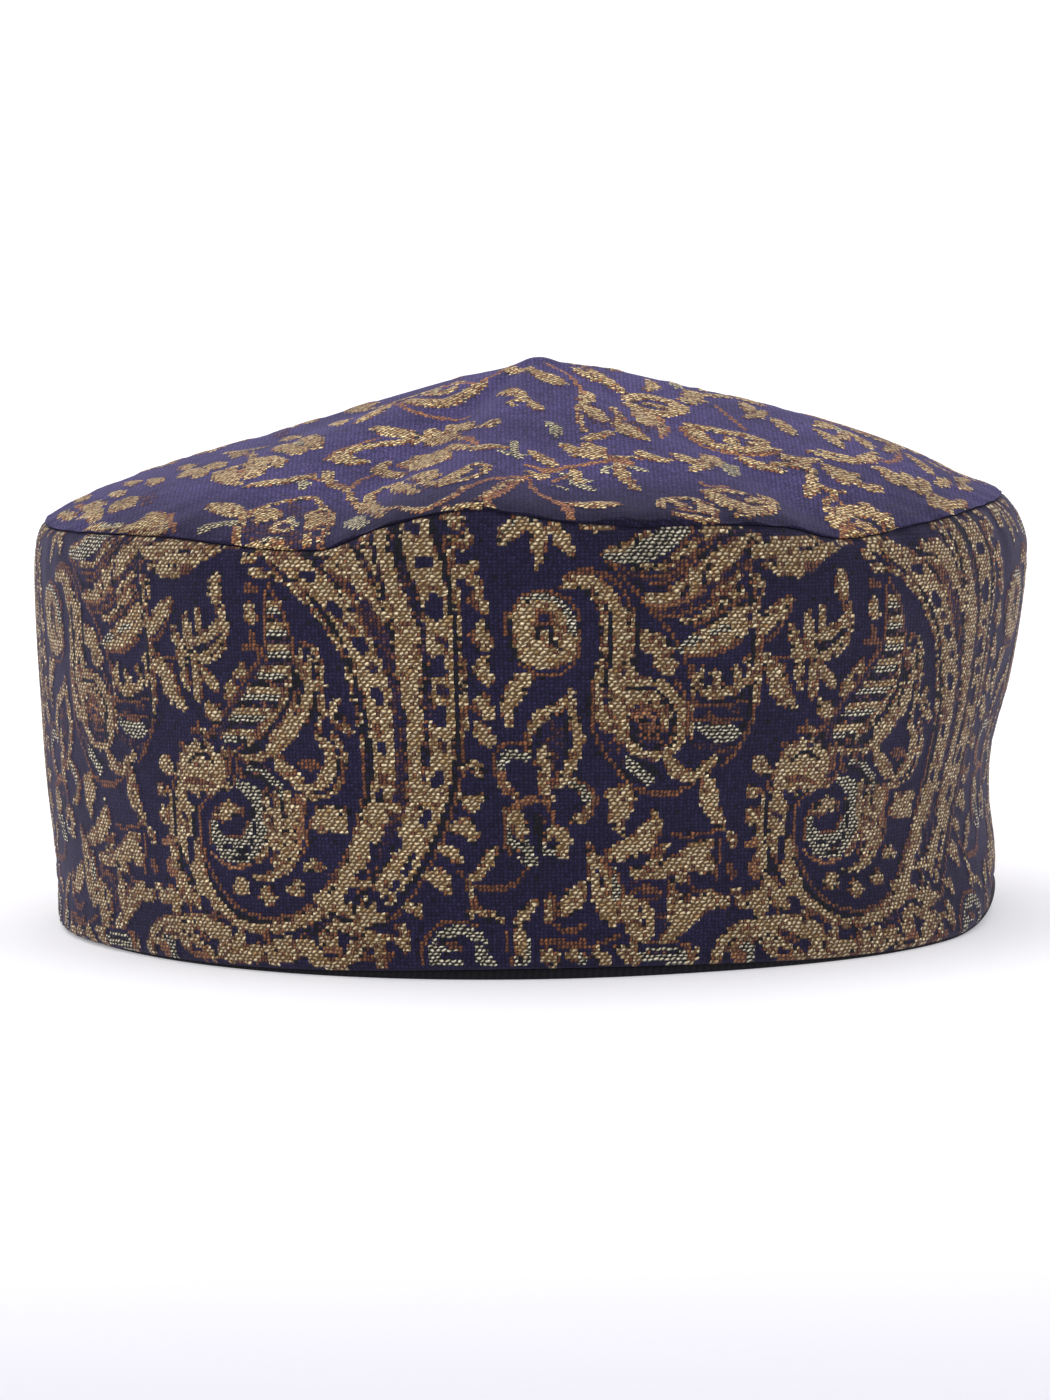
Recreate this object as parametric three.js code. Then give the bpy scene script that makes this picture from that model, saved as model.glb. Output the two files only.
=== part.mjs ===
// A round woven shawl-cloth cap: a tall side band, a low pointed crown sewn into its top edge, and a dark
// binding that is turned in under the band's foot. Millimetres, +Z up, the front faces -Y.
// The origin is on the surface that the cap rests on, under the middle of the cap.
import * as THREE from "three";

// Driving dimensions
const CLOTH_COLUMNS = 60; // facets round the cap
const APEX_HEIGHT = 110; // tip of the crown above the table
const BAND_WALL = 2.4; // shawl cloth, stiffener and facing cloth, sewn through
const CROWN_WALL = 2.0;
const SEWN_GAP = 0.3; // between two pieces that are sewn together
const TIP_ROUNDING = 3; // how far from the axis the crown's tip is blunt
const BINDING_SETBACK = 0.8; // the binding's edge lies this far inside the band's face
const BINDING_FACING = 16; // how high the binding is turned up inside the band
const BINDING_CLOTH = 1.2;

// Angles run round the cap from its front, towards its right side (+X), in degrees.
const LIFT = { middle: 94, reach: 38, height: 5 }; // the hem curls off the table at the right side
const BULGE = { middle: 50, reach: 36, depth: 3, below: 0.3 }; // the foot swells out at the right front
const DENT = { middle: -24, reach: 20, depth: 1.6, from: 0.45 }; // hollow under the dip in the seam

// Radius of the band's face in the four directions, by share of the band's height.
const BAND_ROWS = [
  { share: 0.0, front: 91.6, right: 92.0, back: 91.8, left: 93.2 },
  { share: 0.06, front: 92.3, right: 92.0, back: 92.4, left: 93.6 },
  { share: 0.2, front: 92.9, right: 90.1, back: 92.9, left: 94.2 },
  { share: 0.36, front: 93.9, right: 90.5, back: 93.6, left: 95.2 },
  { share: 0.54, front: 95.4, right: 94.1, back: 95.0, left: 95.9 },
  { share: 0.72, front: 96.8, right: 96.7, back: 96.4, left: 96.7 },
  { share: 0.86, front: 97.7, right: 97.8, back: 97.5, left: 97.0 },
  { share: 0.95, front: 97.6, right: 96.6, back: 97.3, left: 96.5 },
  { share: 1.0, front: 96.6, right: 94.2, back: 96.2, left: 95.2 },
];

// Height of the seam between band and crown: it stands up at the front crease and dips beside it.
const SEAM_ROWS = [
  { at: -150, height: 80.4 },
  { at: -110, height: 79.2 },
  { at: -78, height: 78.4 },
  { at: -45, height: 79.8 },
  { at: -24, height: 78.4 },
  { at: -16, height: 82.9 },
  { at: -6, height: 86.1 },
  { at: 4, height: 83.6 },
  { at: 20, height: 82.3 },
  { at: 29, height: 81.2 },
  { at: 37, height: 78.3 },
  { at: 50, height: 79.6 },
  { at: 70, height: 81.1 },
  { at: 110, height: 81.0 },
  { at: 160, height: 80.8 },
];

// The crown between seam and tip: share of the way in, and share of the rise that is reached by then.
const CROWN_ROWS = [
  { inward: 0.0, front: 0.0, right: 0.0, back: 0.0, left: 0.0 },
  { inward: 0.03, front: 0.05, right: 0.07, back: 0.06, left: 0.07 },
  { inward: 0.08, front: 0.105, right: 0.14, back: 0.13, left: 0.13 },
  { inward: 0.16, front: 0.175, right: 0.255, back: 0.225, left: 0.215 },
  { inward: 0.28, front: 0.285, right: 0.39, back: 0.345, left: 0.325 },
  { inward: 0.45, front: 0.44, right: 0.55, back: 0.5, left: 0.46 },
  { inward: 0.64, front: 0.62, right: 0.7, back: 0.665, left: 0.635 },
  { inward: 0.82, front: 0.79, right: 0.84, back: 0.82, left: 0.8 },
  { inward: 0.93, front: 0.905, right: 0.91, back: 0.91, left: 0.895 },
  { inward: 1.0, front: 1.0, right: 1.0, back: 1.0, left: 1.0 },
];
const BINDING_FOOT = { front: 1.9, right: 1.0, back: 1.2, left: 1.0 };

const radians = (degrees) => (degrees * Math.PI) / 180;
const turnFrom = (angle, middle) => ((((angle - middle) % 360) + 540) % 360) - 180;

// A smooth value round the cap that passes through its front, right, back and left values.
function around(row, angle) {
  const weight = (middle) => {
    const turn = radians(angle - middle);
    return (1 + 2 * Math.cos(turn) + Math.cos(2 * turn)) / 4;
  };
  return (
    row.front * weight(0) + row.right * weight(90) + row.back * weight(180) + row.left * weight(-90)
  );
}

// A smooth curve through four neighbouring values, at the given share between the middle two.
function smooth(before, first, second, after, share) {
  const slopeIn = (second.value - before.value) / (second.at - before.at);
  const slopeOut = (after.value - first.value) / (after.at - first.at);
  const span = second.at - first.at;
  const s2 = share * share;
  const s3 = s2 * share;
  return (
    (2 * s3 - 3 * s2 + 1) * first.value +
    (s3 - 2 * s2 + share) * span * slopeIn +
    (3 * s2 - 2 * s3) * second.value +
    (s3 - s2) * span * slopeOut
  );
}

// The value of a table with an open start and end.
function along(points, at) {
  const last = points.length - 1;
  let i = 0;
  while (i < last - 1 && at > points[i + 1].at) i += 1;
  const before = points[i > 0 ? i - 1 : 0];
  const after = points[i + 2 <= last ? i + 2 : last];
  const share = (at - points[i].at) / (points[i + 1].at - points[i].at);
  return smooth(before, points[i], points[i + 1], after, share);
}

// The value of a table that closes on itself round the cap.
function aroundTable(rows, angle) {
  const turn = turnFrom(angle, 0);
  const points = [-1, 0, 1].flatMap((lap) =>
    rows.map((row) => ({ at: row.at + 360 * lap, value: row.height })),
  );
  return along(points, turn);
}

// 1 at the middle of a fold or dent, falling smoothly to 0 at its reach on both sides.
function hump(angle, { middle, reach }) {
  const aside = Math.abs(turnFrom(angle, middle)) / reach;
  return aside < 1 ? Math.cos((aside * Math.PI) / 2) ** 2 : 0;
}

const hemHeight = (angle) => LIFT.height * hump(angle, LIFT);
const seamHeight = (angle) => aroundTable(SEAM_ROWS, angle);
const footHeight = (angle) => hemHeight(angle) + around(BINDING_FOOT, angle) + SEWN_GAP;

function bandRadius(angle, share) {
  const radius = along(
    BAND_ROWS.map((row) => ({ at: row.share, value: around(row, angle) })),
    share,
  );
  const high = Math.max(0, (share - DENT.from) / (1 - DENT.from));
  const dent = DENT.depth * high * high * hump(angle, DENT);
  const low = Math.max(0, 1 - share / BULGE.below);
  const bulge = BULGE.depth * low * low * hump(angle, BULGE);
  return radius - dent + bulge;
}

// Radius and height of the crown's face, from the seam (inward 0) to the tip (inward 1).
function crownPoint(angle, inward) {
  const rimHeight = seamHeight(angle) + SEWN_GAP;
  const rise = along(
    CROWN_ROWS.map((row) => ({ at: row.inward, value: around(row, angle) })),
    inward,
  );
  const radius = bandRadius(angle, 1) * (1 - inward);
  const height = rimHeight + (APEX_HEIGHT + TIP_ROUNDING / 4 - rimHeight) * rise;
  // The tip's cone is cut off by a round cap.
  const blunt = radius < TIP_ROUNDING ? (TIP_ROUNDING - radius) ** 2 / (4 * TIP_ROUNDING) : 0;
  return { radius, height: height - blunt };
}

const place = (angle, radius, height) => [
  radius * Math.sin(radians(angle)),
  -radius * Math.cos(radians(angle)),
  height,
];

// One closed solid from a cross-section that is carried once round the cap. section(angle) gives the
// corners of the section, counter-clockwise when it is looked at with the outside to the right.
function carriedRound(section) {
  const rings = Array.from({ length: CLOTH_COLUMNS }, (_, i) => {
    const angle = (360 * i) / CLOTH_COLUMNS;
    return section(angle).map(({ radius, height }) => place(angle, radius, height));
  });
  const corners = rings[0].length;
  const index = [];
  for (let i = 0; i < CLOTH_COLUMNS; i += 1) {
    const next = (i + 1) % CLOTH_COLUMNS;
    for (let k = 0; k < corners; k += 1) {
      const up = (k + 1) % corners;
      const [a, b] = [i * corners + k, next * corners + k];
      const [c, d] = [next * corners + up, i * corners + up];
      index.push(a, b, c, a, c, d);
    }
  }
  return solid(rings.flat(), index);
}

// One closed dish: a face that ends in one point on the axis, and a lining face under it.
function dish(outer, inner, steps) {
  const points = [];
  for (const face of [outer, inner]) {
    for (let k = 0; k < steps.length - 1; k += 1) {
      for (let i = 0; i < CLOTH_COLUMNS; i += 1) {
        const angle = (360 * i) / CLOTH_COLUMNS;
        const { radius, height } = face(angle, steps[k]);
        points.push(place(angle, radius, height));
      }
    }
    points.push([0, 0, face(0, 1).height]);
  }
  const rings = steps.length - 1;
  const tip = rings * CLOTH_COLUMNS;
  const under = tip + 1; // index of the lining face's first point
  const index = [];
  for (let i = 0; i < CLOTH_COLUMNS; i += 1) {
    const next = (i + 1) % CLOTH_COLUMNS;
    for (let k = 0; k < rings; k += 1) {
      const [a, b] = [k * CLOTH_COLUMNS + i, k * CLOTH_COLUMNS + next];
      const d = k < rings - 1 ? a + CLOTH_COLUMNS : tip;
      index.push(a, b, d, a + under, d + under, b + under);
      if (d !== tip) {
        const c = b + CLOTH_COLUMNS;
        index.push(b, c, d, b + under, d + under, c + under);
      }
    }
    index.push(i, i + under, next, next, i + under, next + under);
  }
  return solid(points, index);
}

function solid(points, index) {
  const geometry = new THREE.BufferGeometry();
  geometry.setAttribute("position", new THREE.Float32BufferAttribute(points.flat(), 3));
  geometry.setIndex(index);
  geometry.computeVertexNormals();
  return geometry;
}

// The side band: one strip of shawl cloth on its stiffener, from the binding up to the crown seam.
function sideBand() {
  const wallAt = (angle, share, inset) => {
    const foot = footHeight(angle);
    return {
      radius: bandRadius(angle, share) - inset,
      height: foot + share * (seamHeight(angle) - foot),
    };
  };
  return carriedRound((angle) => [
    ...BAND_ROWS.map((row) => wallAt(angle, row.share, 0)),
    ...[...BAND_ROWS].reverse().map((row) => wallAt(angle, row.share, BAND_WALL)),
  ]);
}

// The crown: one round of shawl cloth, drawn up to a point.
function crown() {
  const under = (angle, inward) => {
    const face = crownPoint(angle, inward);
    const rim = bandRadius(angle, 1);
    const radius = (1 - inward) * (rim - BAND_WALL);
    const sink = CROWN_WALL * Math.min(1, inward / CROWN_ROWS[2].inward);
    return { radius, height: face.height - sink };
  };
  return dish(crownPoint, under, CROWN_ROWS.map((row) => row.inward));
}

// The binding: a dark strip under the band's foot that is turned up against the inside of the band.
function hemBinding() {
  return carriedRound((angle) => {
    const table = hemHeight(angle);
    const foot = table + around(BINDING_FOOT, angle);
    const top = table + BINDING_FACING;
    const bandFoot = footHeight(angle);
    const liningAt = (height) => {
      const share = Math.max(0, (height - bandFoot) / (seamHeight(angle) - bandFoot));
      return bandRadius(angle, share) - BAND_WALL - SEWN_GAP;
    };
    const edge = bandRadius(angle, 0) - BINDING_SETBACK;
    const middle = (foot + top) / 2;
    return [
      { radius: liningAt(foot) - BINDING_CLOTH, height: table },
      { radius: edge, height: table },
      { radius: edge, height: foot },
      { radius: liningAt(foot), height: foot },
      { radius: liningAt(middle), height: middle },
      { radius: liningAt(top), height: top },
      { radius: liningAt(top) - BINDING_CLOTH, height: top },
      { radius: liningAt(middle) - BINDING_CLOTH, height: middle },
    ];
  });
}

function piece(name, geometry, color) {
  const mesh = new THREE.Mesh(
    geometry,
    new THREE.MeshStandardMaterial({ color, roughness: 0.9, metalness: 0 }),
  );
  mesh.name = name;
  return mesh;
}

const cap = new THREE.Group();
cap.add(piece("side_band", sideBand(), 0x5a4a4c));
cap.add(piece("crown", crown(), 0x3d3558));
cap.add(piece("hem_binding", hemBinding(), 0x14121c));

export default cap;
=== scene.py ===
import math

import bpy
import numpy as np
from mathutils import Matrix


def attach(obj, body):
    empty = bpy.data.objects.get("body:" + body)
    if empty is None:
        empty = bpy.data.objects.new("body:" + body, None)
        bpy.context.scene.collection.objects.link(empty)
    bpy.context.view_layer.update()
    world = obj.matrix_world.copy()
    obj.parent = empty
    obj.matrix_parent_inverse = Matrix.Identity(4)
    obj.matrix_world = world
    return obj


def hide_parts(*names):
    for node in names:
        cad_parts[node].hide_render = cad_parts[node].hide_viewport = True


# Kashmiri kani cap: a woven side band, a puffed crown sewn on top of it and a dark hem binding.
# Lengths are in millimetres here and turn into metres when a mesh is made. The front faces -Y,
# and an angle of 0 is the front, 90 the side at +X.

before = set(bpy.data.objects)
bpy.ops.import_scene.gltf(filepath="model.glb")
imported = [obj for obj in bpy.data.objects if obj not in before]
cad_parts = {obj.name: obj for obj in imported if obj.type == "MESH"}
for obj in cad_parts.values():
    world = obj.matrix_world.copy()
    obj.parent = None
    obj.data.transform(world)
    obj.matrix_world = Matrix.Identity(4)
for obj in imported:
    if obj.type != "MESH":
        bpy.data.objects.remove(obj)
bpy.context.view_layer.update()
millimetre = 0.001
print("frame loaded:", ", ".join(sorted(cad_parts)))


def fromHex(code):  # sRGB hex to the linear values that Blender wants
    parts = [int(code[k:k + 2], 16) / 255 for k in (1, 3, 5)]
    return [c / 12.92 if c <= 0.04045 else ((c + 0.055) / 1.055) ** 2.4 for c in parts] + [1.0]


def addNode(tree, kind, inputs=None, **settings):
    node = tree.nodes.new("ShaderNode" + kind)
    for name, value in settings.items():
        setattr(node, name, value)
    for name, value in (inputs or {}).items():
        if isinstance(value, bpy.types.NodeSocket):
            tree.links.new(value, node.inputs[name])
        else:
            node.inputs[name].default_value = value
    return node


def startMaterial(name):
    material = bpy.data.materials.new(name)
    material.use_nodes = True
    material.node_tree.nodes.clear()
    return material, material.node_tree


def along(points, at):  # smooth curve through rows of (place, value)
    points = np.asarray(points, float)
    place, value = points[:, 0], points[:, 1]
    before, after = np.r_[place[0], place[:-1]], np.r_[place[1:], place[-1]]
    slope = (np.r_[value[1:], value[-1]] - np.r_[value[0], value[:-1]]) / (after - before)
    k = np.clip(np.searchsorted(place, at, side="right") - 1, 0, len(place) - 2)
    step = place[k + 1] - place[k]
    t = (at - place[k]) / step
    return (value[k] * (2 * t**3 - 3 * t**2 + 1) + slope[k] * step * (t**3 - 2 * t**2 + t)
            + value[k + 1] * (3 * t**2 - 2 * t**3) + slope[k + 1] * step * (t**3 - t**2))


def around(quarters, angle):  # front, right, back and left values, blended round the head
    total = 0
    for value, middle in zip(quarters, (0, 90, 180, -90)):
        t = np.radians(angle - middle)
        total = total + value * (1 + 2 * np.cos(t) + np.cos(2 * t)) / 4
    return total


def apart(angle, middle):  # degrees from middle, the short way round
    return (angle - middle + 180) % 360 - 180


def hump(angle, middle, reach):
    t = np.clip(np.abs(apart(angle, middle)) / reach, 0, 1)
    return np.cos(t * np.pi / 2) ** 2


def smoothStep(value, low, high):
    t = np.clip((value - low) / (high - low), 0, 1)
    return t * t * (3 - 2 * t)


def ripple(angle, waves):  # slow wander round the cap; waves: (how many, size, shift in degrees)
    return sum(size * np.sin(np.radians(count * angle + shift)) for count, size, shift in waves)


def smoothLine(rows, step=0.25):  # a chart stroke's corners joined by a smooth line
    rows = np.asarray(rows, float)
    padded = np.vstack([2 * rows[0] - rows[1], rows, 2 * rows[-1] - rows[-2]])
    line = []
    for a, b, c, d in zip(padded[:-3], padded[1:-2], padded[2:-1], padded[3:]):
        count = max(2, int(np.hypot(*(c - b)[:2]) / step))
        t = (np.arange(count) / count)[:, None]
        line.append((2 * b + (c - a) * t + (2 * a - 5 * b + 4 * c - d) * t**2
                     + (3 * b - a - 3 * c + d) * t**3) / 2)
    line.append(rows[-1:])
    return np.vstack(line)


def readChart(text):  # one stroke to a row: its yarn, then across, up and width for each corner
    strokes = []
    for row in text.strip().replace("\n  ", " ").split("\n"):
        if not row.startswith("#"):
            yarn, *numbers = row.split()
            strokes.append((yarn, np.array(numbers, float).reshape(-1, 3)))
    return strokes


def makePiece(name, points, faces, materials, faceMaterial=None):
    mesh = bpy.data.meshes.new(name)
    mesh.from_pydata(np.asarray(points) * millimetre, [], faces)
    for material in materials:
        mesh.materials.append(material)
    if faceMaterial is not None:
        mesh.polygons.foreach_set("material_index", np.asarray(faceMaterial, np.int32))
    mesh.polygons.foreach_set("use_smooth", np.ones(len(mesh.polygons), bool))
    mesh.update()
    piece = bpy.data.objects.new(name, mesh)
    bpy.context.scene.collection.objects.link(piece)
    return piece


def addMap(piece, name, corners):  # UV map from one (u, v) per face corner
    layer = piece.data.uv_layers.new(name=name)
    layer.uv.foreach_set("vector", np.asarray(corners, np.float32).ravel())


def joinRings(rings):  # quads from each ring of corners to the next, and each corner's column and ring
    faces, places = [], []
    for n, (lower, upper) in enumerate(zip(rings[:-1], rings[1:])):
        for i in range(len(lower)):
            after = (i + 1) % len(lower)
            faces.append([lower[after], lower[i], upper[i], upper[after]])
            places += [(i + 1, n), (i, n), (i, n + 1), (i + 1, n + 1)]
    return faces, places


capForm = {  # the same values as the CAD model's
    "apexHeight": 110, "bandWall": 2.4, "crownWall": 2.0, "sewnGap": 0.3, "tipRounding": 3,
    "bindingSetback": 0.8, "bindingFacing": 16, "bindingCloth": 1.2,
    "lift": (94, 38, 5),  # the foot stands off the table: angle, reach, height
    "bulge": (50, 36, 3, 0.3),  # angle, reach, size, share of the height where it ends
    "dent": (-24, 20, 1.6, 0.45),  # angle, reach, depth, share of the height where it starts
}
# share of the band's height, then its radius at the front, right, back and left
bandRows = [
    (0, 91.6, 92.0, 91.8, 93.2), (0.06, 92.3, 92.0, 92.4, 93.6), (0.2, 92.9, 90.1, 92.9, 94.2),
    (0.36, 93.9, 90.5, 93.6, 95.2), (0.54, 95.4, 94.1, 95.0, 95.9), (0.72, 96.8, 96.7, 96.4, 96.7),
    (0.86, 97.7, 97.8, 97.5, 97.0), (0.95, 97.6, 96.6, 97.3, 96.5), (1, 96.6, 94.2, 96.2, 95.2),
]
seamRows = [  # angle, height of the seam between band and crown
    (-150, 80.4), (-110, 79.2), (-78, 78.4), (-45, 79.8), (-24, 78.4), (-16, 82.9), (-6, 86.1), (4, 83.6),
    (20, 82.3), (29, 81.2), (37, 78.3), (50, 79.6), (70, 81.1), (110, 81.0), (160, 80.8),
]
crownRows = [  # share of the way in, then share of the rise at the front, right, back and left
    (0, 0, 0, 0, 0), (0.03, 0.05, 0.07, 0.06, 0.07), (0.08, 0.105, 0.14, 0.13, 0.13),
    (0.16, 0.175, 0.255, 0.225, 0.215), (0.28, 0.285, 0.39, 0.345, 0.325), (0.45, 0.44, 0.55, 0.5, 0.46),
    (0.64, 0.62, 0.7, 0.665, 0.635), (0.82, 0.79, 0.84, 0.82, 0.8), (0.93, 0.905, 0.91, 0.91, 0.895),
    (1, 1, 1, 1, 1),
]


def fourWays(rows, place, angle):
    return around([along([(row[0], row[k]) for row in rows], place) for k in (1, 2, 3, 4)], angle)


def seamHeight(angle):
    loop = [(at + turn, height) for turn in (-360, 0, 360) for at, height in seamRows]
    return along(loop, apart(angle, 0))


def hemHeight(angle):
    middle, reach, height = capForm["lift"]
    return height * hump(angle, middle, reach)


def bandRadius(angle, share):
    middle, reach, depth, start = capForm["dent"]
    dent = depth * np.clip((share - start) / (1 - start), 0, None) ** 2 * hump(angle, middle, reach)
    middle, reach, size, end = capForm["bulge"]
    bulge = size * np.clip(1 - share / end, 0, None) ** 2 * hump(angle, middle, reach)
    return fourWays(bandRows, share, angle) - dent + bulge


def crownHeight(angle, inward, rimRadius):
    rim = seamHeight(angle) + capForm["sewnGap"]
    tip = capForm["tipRounding"]
    radius = rimRadius * (1 - inward)
    rounded = np.where(radius < tip, (tip - radius) ** 2 / (4 * tip), 0)
    return rim + (capForm["apexHeight"] + tip / 4 - rim) * fourWays(crownRows, inward, angle) - rounded


def toPoints(angle, radius, height):
    t = np.radians(angle)
    return np.stack([radius * np.sin(t), -radius * np.cos(t), height + 0 * radius], axis=-1)

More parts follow.
